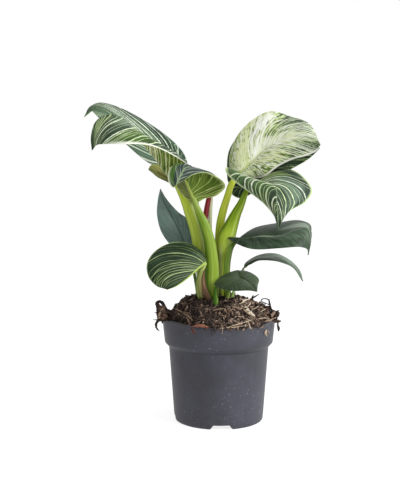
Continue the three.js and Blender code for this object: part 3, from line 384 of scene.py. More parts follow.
def tube_faces(rows, sides):
    """The wall and both ends of a tube."""
    return grid_faces(rows, sides, closed=True) + [tuple(range(sides))[::-1],
                                                   tuple(range((rows - 1) * sides, rows * sides))]


def place(obj, slot, *nodes):
    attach(obj, "root")
    if nodes:
        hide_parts(*nodes)
    return obj


# ------------------------------------------------------------------ materials

GAIN = 0.62  # surface colour for a colour seen under the studio's light


def rgb(colour, share=1.0):
    """The linear surface colour, with alpha, of what is to be seen as these screen values from 0 to 255."""
    def linear(c):
        c /= 255
        return c / 12.92 if c <= 0.04045 else ((c + 0.055) / 1.055) ** 2.4
    return tuple(linear(c) * (GAIN * share) for c in colour) + (1.0,)


class Value:
    """A node's output. Whatever is reckoned from it adds a node to the same tree."""

    def __init__(self, nodes, socket):
        self.nodes, self.socket = nodes, socket

    def op(self, kind, *others, clamp=False):
        return self.nodes.math(kind, self, *others, clamp=clamp)

    def step(self, low, high, start=0.0, end=1.0):
        """start below low and end above high, smooth between; high may be the smaller one."""
        inputs = {"Value": self, "From Min": low, "From Max": high, "To Min": start, "To Max": end}
        return self.nodes.node("ShaderNodeMapRange", inputs, interpolation_type="SMOOTHSTEP")

    __add__ = partialmethod(op, "ADD")
    __sub__ = partialmethod(op, "SUBTRACT")
    __mul__ = partialmethod(op, "MULTIPLY")
    __truediv__ = partialmethod(op, "DIVIDE")
    __abs__ = partialmethod(op, "ABSOLUTE")
    madd = partialmethod(op, "MULTIPLY_ADD")
    max = partialmethod(op, "MAXIMUM")
    above = partialmethod(op, "GREATER_THAN")
    below = partialmethod(op, "LESS_THAN")
    floor = partialmethod(op, "FLOOR")
    fract = partialmethod(op, "FRACT")


class Nodes:
    """Short calls for the nodes of a tree. A Value, a number or a tuple feeds a socket."""

    def __init__(self, tree):
        self.tree = tree

    def feed(self, socket, value):
        if isinstance(value, Value):
            self.tree.links.new(value.socket, socket)
        elif value is not None:
            socket.default_value = value

    def node(self, kind, inputs=(), output=0, **props):
        node = self.tree.nodes.new(kind)
        for key, value in props.items():
            setattr(node, key, value)
        for key, value in dict(inputs).items():
            self.feed(node.inputs[key], value)
        return Value(self, node.outputs[output])

    def math(self, kind, *values, clamp=False):
        return self.node("ShaderNodeMath", enumerate(values), operation=kind, use_clamp=clamp)

    def mix(self, factor, a, b, blend="MIX"):
        return self.node("ShaderNodeMix", {0: factor, 6: a, 7: b}, 2, data_type="RGBA", blend_type=blend)

    def ramp(self, x, stops):
        colour = self.node("ShaderNodeValToRGB", {"Fac": x})
        elements = colour.socket.node.color_ramp.elements
        while len(elements) < len(stops):
            elements.new(0.5)
        for element, (position, tint) in zip(elements, stops):
            element.position = position
            element.color = rgb(tint)
        return colour

    def join(self, x, y, z):
        return self.node("ShaderNodeCombineXYZ", enumerate((x, y, z)))

    def uv(self, name):
        x = self.node("ShaderNodeSeparateXYZ", {0: self.node("ShaderNodeUVMap", uv_map=name)})
        return x, Value(self, x.socket.node.outputs[1])

    def place(self):
        return self.node("ShaderNodeTexCoord", output="Object")

    def noise(self, vector, scale, detail=2.0, rough=0.5, warp=0.0):
        inputs = {"Vector": vector, "Scale": scale, "Detail": detail, "Roughness": rough, "Distortion": warp}
        return self.node("ShaderNodeTexNoise", inputs, "Fac")

    def random(self, vector):
        return self.node("ShaderNodeTexWhiteNoise", {"Vector": vector}, "Value", noise_dimensions="3D")


class Shader(Nodes):
    """A material with one Principled shader."""

    def __init__(self, name, **settings):
        self.material = bpy.data.materials.new(name)
        self.material.use_nodes = True
        super().__init__(self.material.node_tree)
        self.bsdf = self.tree.nodes["Principled BSDF"]
        for socket, value in settings.items():
            self.bsdf.inputs[socket.replace("_", " ")].default_value = value

    def finish(self, colour, roughness, height, strength, distance):
        """Feeds the shader, with a bump this strong and this many metres high, and gives the material."""
        bump = self.node("ShaderNodeBump", {"Height": height, "Strength": strength, "Distance": distance})
        for socket, value in (("Base Color", colour), ("Roughness", roughness), ("Normal", bump)):
            self.feed(self.bsdf.inputs[socket], value)
        return self.material


def leaf_coordinates(s):
    """Where a point of a blade is: its side vein, its side and share of the half width, that share without the
    side, its place along the midrib, its distance from the midrib, and the mm from one vein to a whole step on."""
    q, v = s.uv("vein")
    u, reach = s.uv("rib")
    spread, _ = s.uv("spread")
    return q, v, abs(v), u, abs(reach) * 100.0, spread * 100.0


def drawn_bands(s, bands, q, v, w, spread, seed, wide=1.0):
    """The drawn stripes: how pale each point is."""
    wander = s.noise(s.join(q * 14.0, w * 3.5, seed), 1.0, 2.0)
    q = q + wander.madd(0.016, -0.008)
    swell = s.noise(s.join(q * 30.0, w * 6.0, seed + 5.0), 1.0, 2.0)
    spread = spread / swell.step(0.25, 0.75).madd(1.1 * wide, 0.45 * wide)
    sides = []
    for half in bands:
        total = 0.0
        for start, *end, width, strength in half:
            centre = w.madd(end[0] - start if end else 0.0, start)
            line = (abs(q - centre) * spread).step(width * 0.36 + 0.1, width * 0.18 - 0.05)
            total = (line * strength).max(total)
        sides.append(total)
    both = v.below(0.0) * sides[0] + v.above(0.0) * sides[1]
    return both * spread.step(5.0 / wide, 26.0 / wide)


def fine_lines(s, q, v, w, spread, count, width, skip, seed):
    """Random thin lines along the side veins, width mm wide, each with its own strength and length."""
    seed = v.above(0.0).madd(13.7, seed)
    wander = s.noise(s.join(q * 5.0, w * 1.6, seed), 1.0, 1.0)
    x = wander.madd(1.8, q * count)
    cell = x.floor()
    off_centre = abs(x.fract() - 0.5) * (1 / count) * spread
    luck = s.random(s.join(cell, seed, 0.5))
    along = s.noise(s.join(cell * 3.1, w * 3.4, seed), 1.0, 1.0)
    line = (luck.madd(0.7, 0.3) * width - off_centre).step(-0.12, 0.1)
    line = line * spread.step(0.35 * count, 1.3 * count)
    return line * (luck + along * 0.9).step(skip, skip + 0.5)


def zone(q, v, w, side, q0, q1, w0, w1):
    """1 inside a part of one half of the blade, between two veins and between two shares of its width."""
    inside = q.step(q0 - 0.025, q0 + 0.025) * q.step(q1 + 0.025, q1 - 0.025)
    across = w.step(w0 - 0.12, w0 + 0.12) * w.step(w1 + 0.12, w1 - 0.12)
    return inside * across * (v.above(0.0) if side > 0 else v.below(0.0))


def leaf_material(name, bands, look, under=False):
    s = Shader(name, IOR=1.42, Specular_IOR_Level=look["shine"])
    q, v, w, u, distance, spread = leaf_coordinates(s)
    seed, count, pale = look["seed"], look["count"], rgb(look["pale"])
    where = s.place()
    mottle = s.noise(where, 55.0, 3.0, 0.6)
    streak = s.noise(s.join(q * 46.0, w * 1.6, seed), 1.0, 2.0, 0.6)
    tone = streak.madd(0.6, mottle * 0.4)
    colour = s.mix(tone.step(0.36, 0.66), rgb(look["dark"]), rgb(look["light"]))
    # zones: some of them paint a sheen (upper_left, drooping, plain_right)
    for spec, tint, amount in look["zones"]:
        tinted = s.mix(streak.step(0.38, 0.6), rgb(tint, 0.55), rgb(tint, 1.2))
        colour = s.mix(zone(q, v, w, *spec) * amount, colour, tinted)
    veins = fine_lines(s, q, v, w, spread, count * 2.3, 0.3, 0.1, seed + 3.0)
    colour = s.mix(veins * look["vein"], colour, pale)
    fine = fine_lines(s, q, v, w, spread, count, look["width"], look["skip"], seed + 7.0)
    drawn = drawn_bands(s, bands, q, v, w, spread, seed, look["wide"])
    patch = s.noise(s.join(q * 9.0, w, seed), 1.0, 1.0)
    stripe = s.mix(drawn.madd(0.35, patch).step(0.5, 1.0), pale, rgb(look["bright"]))
    colour = s.mix((drawn * look["stripe"]).max(fine * look["fine"]), colour, stripe)
    # the tip tint paints shade over the tip
    tip_start, tip_end, tint, amount = look["tip"]
    colour = s.mix(u.step(tip_start, tip_end) * amount, colour, rgb(tint))
    half_rib = u.madd(-look["rib"] * 0.75, look["rib"])
    rib = distance.step(half_rib + 0.35, half_rib - 0.35)
    colour = s.mix(rib * look["rib_paint"], colour, rgb(look["rib_colour"]))
    edge = w.step(look["edge"], 1.0) * u.step(look["edge_end"], look["edge_end"] - 0.2)
    colour = s.mix(edge * look["edge_paint"], colour, rgb(look["edge_colour"]))
    grain = s.noise(where, 900.0, 2.0) * 0.18
    height = veins * 0.35 + grain + (streak * 1.5 + rib * (1.0 if under else -1.0))
    return s.finish(colour, mottle.madd(0.16, look["rough"]), height, 0.6, 0.0005)


# What a leaf's material is made from: its dark and light ground and its pale and bright stripes; how many fine
# lines it has, their width, how many are left out and how strong they are; how strong the drawn stripes and the
# veins are; the midrib's half width, paint and colour; where the margin's paint starts (across) and ends (along);
# how wide the drawn stripes are; its tip's tint, a painted shade (from, to, colour, amount); and zones with a
# ground of their own, some of them a painted sheen, each (side, first and last vein, first and last share of the
# half width), colour, amount.
STRIPED = dict(dark=(26, 45, 28), light=(62, 86, 62), pale=(180, 204, 128), bright=(230, 238, 208), count=30.0,
    width=0.3, skip=0.75, stripe=1.0, fine=0.6, vein=0.07, rib=1.0, rib_paint=0.7, rib_colour=(160, 186, 136),
    edge=0.965, edge_paint=0.8, edge_colour=(190, 208, 146), rough=0.4, shine=0.16, zones=(), wide=1.0, edge_end=0.95,
    tip=(0.8, 1.0, (60, 84, 54), 0.0))
PLAIN = dict(dark=(46, 64, 44), light=(84, 104, 80), pale=(124, 142, 116), bright=(136, 154, 128), stripe=0.3,
    fine=0.08, vein=0.14, rib=0.8, rib_paint=0.85, rib_colour=(152, 172, 140), edge=0.985, edge_paint=0.3,
    edge_colour=(130, 148, 110), rough=0.34, count=22.0, shine=0.22)
UNDER = dict(dark=(50, 76, 14), light=(84, 112, 28), pale=(160, 182, 88), bright=(186, 202, 120), vein=0.16,
    stripe=0.95, fine=0.4, rib=1.6, rib_paint=0.9, rib_colour=(164, 184, 84), edge_paint=0.8, rough=0.46, shine=0.12,
    zones=())
LOOKS = {
    # far_left: the tip tint (62, 88, 54) is painted shade over the tip
    "far_left": dict(edge_colour=(110, 132, 92), wide=1.5, dark=(24, 46, 30), light=(64, 92, 68), pale=(204, 224, 184),
        bright=(244, 250, 236), fine=0.8, skip=0.6, zones=(((1, 0.26, 0.6, 0.0, 0.6), (96, 126, 102), 0.35),
        ((-1, -1.0, 1.0, 0.0, 1.0), (100, 128, 108), 0.6)), tip=(0.66, 0.88, (62, 88, 54), 0.6)),
    # upper_left: the pale grey-green zone (140, 164, 140) beside the left half's midrib is a painted sheen
    "upper_left": dict(rib=2.2, rib_paint=0.5, rib_colour=(136, 160, 130), edge=0.89, edge_paint=1.0,
        edge_colour=(250, 254, 236), wide=1.4, edge_end=0.8, fine=0.85, skip=0.6, pale=(196, 218, 156),
        bright=(238, 246, 224), zones=(((-1, 0.19, 0.345, 0.25, 1.0), (76, 110, 28), 0.75), ((-1, 0.54, 0.7, 0.1, 0.7),
        (96, 128, 60), 0.2), ((-1, 0.1, 0.5, 0.0, 0.35), (140, 164, 140), 0.6), ((1, 0.0, 1.0, 0.0, 1.0),
        (120, 144, 124), 0.5))),
    # arched: the margin is pale of its own; its colour above white is also a painted highlight against the shade on
    # that edge
    "arched": dict(dark=(24, 40, 40), light=(46, 66, 64), fine=0.5, skip=0.9, zones=(((-1, -0.12, 0.16, 0.5, 1.0),
        (92, 136, 44), 0.75),), edge=0.76, edge_paint=1.0, wide=1.4, pale=(190, 206, 172), bright=(232, 240, 222),
        edge_end=1.3, edge_colour=(252, 262, 222)),
    # drooping: the grey-green zone (98, 120, 102) on the left half is a painted sheen
    "drooping": dict(dark=(20, 38, 24), light=(62, 86, 68), rib=1.1, rib_paint=0.4, skip=0.9,
        rib_colour=(176, 200, 150), edge=0.9, edge_paint=0.9, edge_colour=(214, 232, 176), pale=(198, 220, 150),
        bright=(242, 248, 228), wide=1.8, edge_end=1.3, zones=(((-1, 0.06, 0.2, 0.0, 0.6), (130, 158, 74), 0.55),
        ((-1, 0.24, 0.46, 0.15, 0.75), (98, 120, 102), 0.8), ((1, -1.0, 0.5, 0.0, 1.0), (100, 134, 76), 0.5))),
    # plain_right: the pale grey zone (150, 168, 148) on the left half is a painted sheen
    "plain_right": dict(dark=(30, 48, 32), light=(66, 88, 64), rib=1.1, rib_paint=0.95, rib_colour=(176, 196, 160),
        zones=(((-1, 0.22, 0.5, 0.3, 0.85), (150, 168, 148), 0.9), ((1, 0.25, 0.6, 0.05, 0.6), (104, 126, 104), 0.5))),
    "narrow": dict(dark=(88, 108, 88), light=(138, 158, 138), zones=(((1, -1.0, 1.0, 0.6, 1.0), (56, 78, 52), 0.8),)),
    "low_front": dict(dark=(44, 62, 38), light=(76, 94, 66)),
    "plain_left": dict(dark=(110, 135, 126), light=(131, 156, 146), rib_paint=0.3, vein=0.05, fine=0.03,
        rib_colour=(92, 118, 107), zones=(((1, -1.0, 0.5, 0.3, 1.0), (92, 118, 105), 0.6),)),
    "lower_left": dict(dark=(14, 33, 18), light=(40, 64, 42), rib=1.7, rib_paint=0.95, rib_colour=(190, 214, 110),
        pale=(170, 196, 120), bright=(206, 222, 164)),
    "underside": dict(edge=0.95, edge_paint=0.9, wide=1.3, edge_end=1.3),
}
UNDERS = {
    "upper_left": dict(dark=(70, 108, 10), light=(126, 160, 42), pale=(246, 250, 176), bright=(262, 262, 232),
        fine=0.95, skip=0.38, width=0.6, count=34.0, wide=1.3, edge_paint=0.3),
    "far_left": dict(dark=(72, 98, 76), light=(124, 150, 124), pale=(196, 212, 176), bright=(226, 234, 214), fine=0.7),
    "low_front": dict(dark=(44, 62, 38), light=(76, 94, 66), pale=(110, 128, 96), rib_colour=(80, 100, 62)),
    "olive": dict(dark=(130, 134, 66), light=(168, 172, 98), pale=(190, 186, 116), rib_colour=(160, 150, 100),
        edge_colour=(150, 126, 80)),
    "underside": dict(dark=(54, 80, 12), light=(92, 120, 30), rib=2.4, rib_colour=(168, 184, 92), edge=0.88,
        edge_colour=(206, 218, 144), fine=0.5, pale=(180, 198, 104), bright=(208, 220, 146), wide=1.4,
        zones=(((1, -1.0, 1.0, 0.0, 1.0), (120, 130, 78), 0.8),)),
}


def cream_material(name, seed):
    """The mostly white leaf: green flecks in short streaks along its side veins, darker towards the tip."""
    s = Shader(name, IOR=1.42, Specular_IOR_Level=0.35)
    q, v, w, u, distance, spread = leaf_coordinates(s)
    right = v.above(0.0)
    side = right.madd(9.3, 1.0)

    def grain(along, across, *settings, shift=side):
        return s.noise(s.join(q * along, w * across, shift), 1.0, *settings)

    soft, ragged = grain(9.0, 1.4, 1.0), grain(34.0, 2.2)
    colour = s.mix(soft.step(0.36, 0.6), rgb((224, 231, 182)), rgb((240, 244, 226)))
    streak = zone(q, v, w, -1, 0.2, 0.3, 0.0, 1.0) * ragged.step(0.3, 0.6)
    colour = s.mix(streak * 0.8, colour, rgb((242, 244, 238)))
    far = w.madd(0.22, ragged.madd(0.3, u)).step(0.86, 1.08)
    clear = w.step(0.32, 0.08) * u.step(0.3, 0.5)
    amount = clear.madd(-0.09, streak.madd(-0.08, far.madd(0.12, soft.madd(0.34, -0.16))))
    long, short = grain(120.0, 3.6, 2.0, 0.6), right.madd(0.012, grain(96.0, 5.5, 2.0, 0.6))
    washed = s.mix(far, rgb((172, 194, 96)), rgb((150, 186, 106)))
    colour = s.mix((long + amount).step(0.5, 0.58) * 0.85, colour, washed)
    green = s.mix(u.step(0.25, 0.6).max(right), rgb((150, 170, 88)), rgb((84, 112, 26)))
    green = s.mix(far, green, rgb((22, 48, 20)))
    colour = s.mix((short + amount).step(0.555, 0.59) * 0.95, colour, green)
    broken = grain(20.0, 4.4, 1.0, shift=side + 4.0)
    flecks = drawn_bands(s, BANDS["cream_flecks"], q, v, w, spread, seed + 2.0)
    flecks = flecks * (broken.step(0.42, 0.5) * w.step(0.1, 0.24))
    colour = s.mix(flecks * 0.8, colour, green)
    crisp = fine_lines(s, q, v, w, spread, 40.0, 0.45, 0.6, seed + 4.0)
    lines = drawn_bands(s, BANDS["cream"], q, v, w, spread, seed).max(crisp)
    colour = s.mix(lines * far.madd(0.5, 0.4), colour, rgb((244, 250, 226)))
    rib = distance.step(2.6, 0.5)
    colour = s.mix(rib * u.madd(-1.3, 0.9, clamp=True), colour, rgb((192, 206, 112)))
    edge = (w.step(0.96, 1.0) * 0.5).max(right * w.step(0.9, 0.97) * 0.9)
    colour = s.mix(edge, colour, rgb((240, 242, 228)))
    height = long.madd(1.2, s.noise(s.place(), 900.0) * 0.2)
    return s.finish(colour, soft.madd(0.12, 0.4), height, 0.45, 0.0005)


def stalk_material(name, low, high, streak, seed, marks=()):
    """A fleshy stalk: paler at its foot, with faint lines along it. A mark colours a band along one side of it, and
    some marks are painted highlights and painted shade: (place round it from 0 at the right to 0.75 at the front, half
    width, start, end, colour, amount)."""
    s = Shader(name, IOR=1.42, Specular_IOR_Level=0.3)
    t, a = s.uv("stalk")
    turn = a * math.tau
    ring = s.join(turn.op("COSINE") * 2.6, turn.op("SINE") * 2.6, t.madd(1.4, seed))
    lines, broad = s.noise(ring, 2.6, 3.0, 0.65), s.noise(ring, 0.8, 1.0)
    body = s.mix(t.step(0.05, 0.9), rgb(low), rgb(high))
    colour = s.mix(lines.step(0.5, 0.66) * 0.7, body, rgb(streak))
    darker = s.mix(1.0, body, (0.45, 0.6, 0.3, 1), "MULTIPLY")
    colour = s.mix(broad.step(0.52, 0.36) * 0.6, colour, darker)
    # marks: the stalk's own lines, and also painted highlights and painted shade
    for middle, width, start, end, tint, amount in marks:
        aside = abs((a - (middle - 0.5)).fract() - 0.5)
        band = lines.madd(0.06, aside).step(width + 0.05, width)
        span = t.step(start - 0.06, start + 0.06) * t.step(end + 0.06, end - 0.06)
        colour = s.mix(band * span * amount, colour, rgb(tint))
    height = lines.madd(0.9, s.noise(s.place(), 700.0) * 0.15)
    return s.finish(colour, lines.madd(0.2, 0.32), height, 0.4, 0.0006)


def pot_material():
    """Matte slate plastic with smears, fine pale dust that gathers low down, a little soil under the rim and painted
    shade in the crease.
    """
    s = Shader("pot_plastic", IOR=1.46, Specular_IOR_Level=0.4)
    where = s.place()
    z = s.node("ShaderNodeSeparateXYZ", {0: where}, 2) * 1000.0
    cloud, smear = s.noise(where, 22.0, 4.0, 0.6), s.noise(where, 70.0, 4.0, 0.7, 0.6)
    low = z.step(70.0, 2.0)
    dust = s.noise(where, 520.0, 2.0, 0.6).step(0.67, 0.71)
    dusty = low.madd(0.12, s.noise(where, 22.0, 2.0)).step(0.5, 0.66)
    # painted shade: a dark line along the crease where the collar's slope meets the body
    crease_shade = s.math("SUBTRACT", 1.0, abs(z - (POT.body_z + 0.2)), clamp=True)
    soil = z.step(88.0, 105.0) * s.noise(where, 150.0, 4.0, 0.7).step(0.52, 0.7)
    colour = s.mix(cloud.step(0.3, 0.7), rgb((55, 55, 63)), rgb((69, 70, 82)))
    for amount, tint in ((smear.step(0.55, 0.75) * 0.25, (96, 88, 84)), (dust * dusty * 0.75, (172, 172, 174)),
                         (smear.step(0.6, 0.42) * (low * 0.25), (84, 84, 96)), (crease_shade * 0.75, (26, 26, 30)),
                         (soil * 0.4, (84, 70, 60))):
        colour = s.mix(amount, colour, rgb(tint))
    height = s.noise(where, 1400.0, 2.0).madd(0.4, dust * 0.6)
    return s.finish(colour, cloud.madd(0.2, 0.42), height, 0.3, 0.0003)


# The colours of each kind of loose matter, from its darkest tone to its palest.
TONES = {
    "peat": [(0.0, (12, 9, 9)), (0.25, (28, 22, 20)), (0.45, (56, 44, 39)), (0.8, (104, 84, 74))],
    "crumb": [(0.0, (14, 11, 11)), (0.3, (38, 29, 26)), (0.62, (82, 65, 57)), (0.95, (148, 126, 110))],
    "clod": [(0.0, (14, 11, 10)), (0.3, (44, 33, 29)), (0.6, (92, 70, 58)), (1.0, (140, 114, 96))],
    "bark": [(0.0, (18, 14, 13)), (0.35, (56, 42, 36)), (0.65, (110, 86, 74)), (0.86, (186, 160, 136)), (1.0,
        (246, 228, 204))],
    "fibre": [(0.0, (30, 23, 21)), (0.35, (90, 71, 62)), (0.7, (154, 130, 112)), (1.0, (210, 190, 166))],
    "hung_dark": [(0.0, (18, 14, 13)), (0.4, (52, 40, 34)), (0.75, (104, 84, 70)), (1.0, (150, 128, 106))],
    "hung_rust": [(0.0, (44, 26, 24)), (0.4, (96, 58, 48)), (0.8, (158, 104, 82)), (1.0, (186, 138, 112))],
    "hung_straw": [(0.0, (96, 78, 62)), (0.5, (166, 142, 114)), (0.8, (220, 200, 170)), (1.0, (252, 240, 220))],
    "rootstock": [(0.0, (70, 52, 36)), (0.5, (120, 92, 64)), (1.0, (150, 120, 84))],
}


def soil_material(name, rough=0.9, scale=420.0):
    """Peat, bark or fibre: each bit has its own tone, with fine grain over it."""
    s = Shader(name, IOR=1.4, Specular_IOR_Level=0.25)
    tone, _ = s.uv("tone")
    where = s.place()
    grain = s.noise(where, scale, 4.0, 0.7)
    colour = s.ramp((tone * 0.8).op("ADD", grain * 0.35, clamp=True), TONES[name])
    return s.finish(colour, grain.madd(-0.25, rough), s.noise(where, scale * 2.2, 3.0, 0.7), 0.8, 0.0006)


# ------------------------------------------------------------------ leaves

BLADE_ROWS = 84
BLADE_COLUMNS = 31
THICKNESS = 0.8
PLAIN_LEAVES = ("olive", "plain_right", "narrow", "low_front", "plain_left")


def blade_grid(name, u, v):
    """A blade's middle surface, and each point's distance from the midrib, for rows u and columns v."""
    arch, rib_points, *edges = BLADES[name]
    rib_at = u ** RIB_LAG
    rib_curve = curve(rib_points)
    rib, ahead = rib_curve(rib_at), heading(rib_curve, rib_at)
    across = [curve([rib_points[0], *edge, rib_points[-1]])(u) - rib for edge in edges]
    calm = np.sqrt(np.maximum(np.sin(np.pi * u), 0))
    points = np.zeros((len(u), len(v), 3))
    reach = np.zeros((len(u), len(v)))
    for j, column in enumerate(v):
        side, w, half = (1 if column > 0 else -1), abs(column), int(column > 0)
        up = np.cross(unit(across[half]) * side, ahead)
        rise = arch[half] * 4 * w * (1 - w) * calm
        points[:, j] = rib + across[half] * w + up * rise[:, None]
        reach[:, j] = side * w * np.linalg.norm(across[half], axis=1)
    return points, reach


def vein_coordinate(name, u, v):
    """Where on the midrib the side vein through each point leaves it; below 0 it fans out from the base."""
    q = np.zeros((len(u), len(v)))
    for j, column in enumerate(v):
        fan, power, ease = VEINS[name][3:] if column > 0 else VEINS[name][:3]
        w = abs(column)
        rho = u ** RIB_LAG * (1 - w) + u * w
        lead = fan * w ** 1.15
        ahead = 1 - (rho - lead) / (1 - lead)
        q[:, j] = 1 - ahead ** (1 / (1 + (power - 1) * w ** ease))
    return q


def spread_of(along, across, q):
    """How many millimetres a step of 1 in q covers, across the veins."""
    q_along, q_across = np.gradient(q, axis=0), np.gradient(q, axis=1)
    e, f, g = (along * along).sum(-1), (along * across).sum(-1), (across * across).sum(-1)
    slope = (g * q_along ** 2 - 2 * f * q_along * q_across + e * q_across ** 2) / np.maximum(e * g - f * f, 1e-9)
    return np.clip(1 / np.sqrt(np.maximum(slope, 1e-9)), 3, 400)


def make_blade(name, seed):
    look = {**STRIPED, **(PLAIN if name in PLAIN_LEAVES else {}), **LOOKS.get(name, {}), "seed": seed}
    u = np.linspace(0.004, 0.997, BLADE_ROWS)
    s = np.linspace(-1, 1, BLADE_COLUMNS)
    v = np.sign(s) * np.abs(s) ** 1.35
    points, reach = blade_grid(name, u, v)
    along, across = np.gradient(points, axis=0), np.gradient(points, axis=1)
    normals = unit(np.cross(across, along))
    q = vein_coordinate(name, u, v)
    ripple = np.array([[wave(q[i, j] * look["count"] * 0.35, abs(v[j]) * 1.4, seed + (v[j] > 0) * 7)
                        for j in range(BLADE_COLUMNS)] for i in range(BLADE_ROWS)])
    calm = np.sin(np.pi * u)[:, None] ** 0.6
    lift = ripple * calm * (0.35 + 0.5 * np.abs(v)[None, :] ** 2)
    valley = -0.5 * np.exp(-(reach / 1.6) ** 2) * (1 - u)[:, None]
    half = 0.5 * THICKNESS * (1 - 0.45 * np.abs(v)[None, :] ** 4)
    keel = ((1.5 - 1.3 * u) * np.minimum(1, u / 0.12))[:, None] * np.exp(-(reach / 1.1) ** 2)
    upper = points + normals * (lift + half + valley)[..., None]
    lower = points + normals * (lift - half - keel)[..., None]
    rows, columns = BLADE_ROWS, BLADE_COLUMNS
    count, quads = rows * columns, (rows - 1) * (columns - 1)
    ring = ([i * columns for i in range(rows)] + [(rows - 1) * columns + j for j in range(1, columns)]
            + [i * columns + columns - 1 for i in range(rows - 2, -1, -1)] + [j for j in range(columns - 2, 0, -1)])
    n, start = len(ring), 2 * count
    verts = np.vstack([upper.reshape(-1, 3), lower.reshape(-1, 3)])
    verts = np.vstack([verts, verts[ring], verts[[k + count for k in ring]]])
    faces = grid_faces(rows, columns) + grid_faces(rows, columns, first=count, flip=True)
    faces += [(start + i, start + (i + 1) % n, start + n + (i + 1) % n, start + n + i) for i in range(n)]
    uvs = {}
    for key, x, y in (("vein", q, v[None, :]), ("rib", u[:, None], reach / 100),
                      ("spread", spread_of(along, across, q) * 0.01, 0.0)):
        value = np.stack(np.broadcast_arrays(x, y), -1).reshape(-1, 2)
        uvs[key] = np.vstack([value, value, value[ring], value[ring]])
    if name == "cream":
        top = cream_material("cream_upper", seed)
    else:
        top = leaf_material(f"{name}_upper", BANDS.get(name, ((), ())), look)
    below = leaf_material(f"{name}_lower", BANDS.get(name, ((), ())), {**look, **UNDER, **UNDERS.get(name, {})}, True)
    obj = make_mesh(f"leaf_{name}", verts, faces, [top, below], [0] * quads + [1] * quads + [0] * n, uvs)
    slot = "leaf_cream" if name == "cream" else "leaf_plain" if name in PLAIN_LEAVES else "leaf_striped"
    return place(obj, slot, f"blade_{name}")


# ------------------------------------------------------------------ stalks and shoots

BROWN = (104, 52, 40)
# For each stalk: its colour at the foot and at the top, its streaks' colour, and its marks, some of them painted
# highlights and painted shade. PLAIN_STALK is for the stalks that are mostly hidden.
PLAIN_STALK = ((104, 130, 50), (84, 116, 34), (140, 164, 76), [])
STALK_COLOURS = {
    "arched": ((178, 202, 68), (200, 222, 54), (222, 232, 116), [(0.9, 0.1, 0.3, 0.9, (180, 196, 110), 0.75), (0.97,
        0.03, 0.2, 0.9, (84, 116, 26), 0.8), (0.55, 0.03, 0.2, 1.0, (116, 150, 34), 0.6)]),
    # cream: the near-white band at 0.9 is a painted highlight
    "cream": ((234, 252, 66), (230, 244, 72), (246, 252, 120), [(0.58, 0.06, 0.3, 1.0, (164, 196, 30), 0.8), (0.9,
        0.04, 0.5, 1.0, (262, 268, 130), 0.5)]),
    # drooping: the pale bands at 0.83 and 0.9 are painted highlights
    "drooping": ((196, 218, 74), (150, 186, 26), (204, 230, 84), [(0.83, 0.02, 0.3, 0.85, (220, 242, 120), 0.85), (0.9,
        0.04, 0.2, 0.56, (176, 210, 120), 0.7), (0.6, 0.05, 0.5, 0.95, (84, 118, 14), 0.75), (0.72, 0.05, 0.62, 1.0,
        (120, 152, 18), 0.7), (0.68, 0.04, 0.1, 0.38, (206, 216, 160), 0.6), (0.58, 0.04, 0.08, 0.36, BROWN, 0.85)]),
    # underside: the dark band at 0.6 is painted shade and the pale band at 0.9 a painted highlight
    "underside": ((136, 166, 38), (128, 160, 34), (162, 186, 64), [(0.6, 0.07, 0.1, 0.8, (88, 130, 12), 0.75), (0.75,
        0.03, 0.2, 0.7, (182, 204, 88), 0.5), (0.9, 0.05, 0.3, 0.8, (150, 176, 70), 0.6),
        (0.97, 0.03, 0.2, 0.5, BROWN, 0.8), (0.75, 0.3, 0.86, 1.0, (154, 172, 78), 0.8)]),
    "plain_right": ((104, 134, 32), (84, 118, 30), (146, 176, 70), [(0.98, 0.1, 0.2, 1.0, (84, 58, 26), 0.9), (0.62,
        0.05, 0.1, 0.8, (150, 182, 70), 0.7)]),
    "lower_left": ((146, 152, 66), (190, 210, 110), (212, 214, 140), [(0.84, 0.08, 0.0, 0.7, (206, 188, 128), 0.7),
        (0.6, 0.05, 0.0, 0.8, (110, 146, 40), 0.7)]),
    "low_front": ((164, 200, 76), (110, 148, 40), (206, 226, 150), []),
    "narrow": ((150, 196, 80), (84, 112, 40), (214, 228, 180), []),
}
# For each shoot: its material slot, and then the same.
SHOOT_LOOKS = {
    # red_sheath: the bright red band at 0.6 is a painted highlight
    "red_sheath": ("sheath_red", (90, 18, 30), (126, 18, 32), (176, 56, 62), [(0.6, 0.05, 0.0, 1.0, (190, 74, 76),
        0.5)]),
    "new_leaf": ("leaf_cream", (196, 200, 136), (224, 222, 176), (236, 230, 200), []),
    "dry_sheath": ("dry_tissue", (152, 108, 78), (96, 62, 34), (196, 160, 118), [(0.94, 0.05, 0.0, 0.5,
        (222, 184, 160), 0.7), (0.6, 0.06, 0.2, 1.0, (92, 58, 34), 0.7)]),
    "bud": ("stalk_green", (104, 160, 22), (72, 130, 14), (140, 188, 56), [(0.84, 0.04, 0.2, 0.9, (190, 226, 110),
        0.6), (0.6, 0.08, 0.1, 0.9, (40, 96, 6), 0.7)]),
}
SOIL_LINE = 114.0  # stalks are cut off level here, well inside the heap


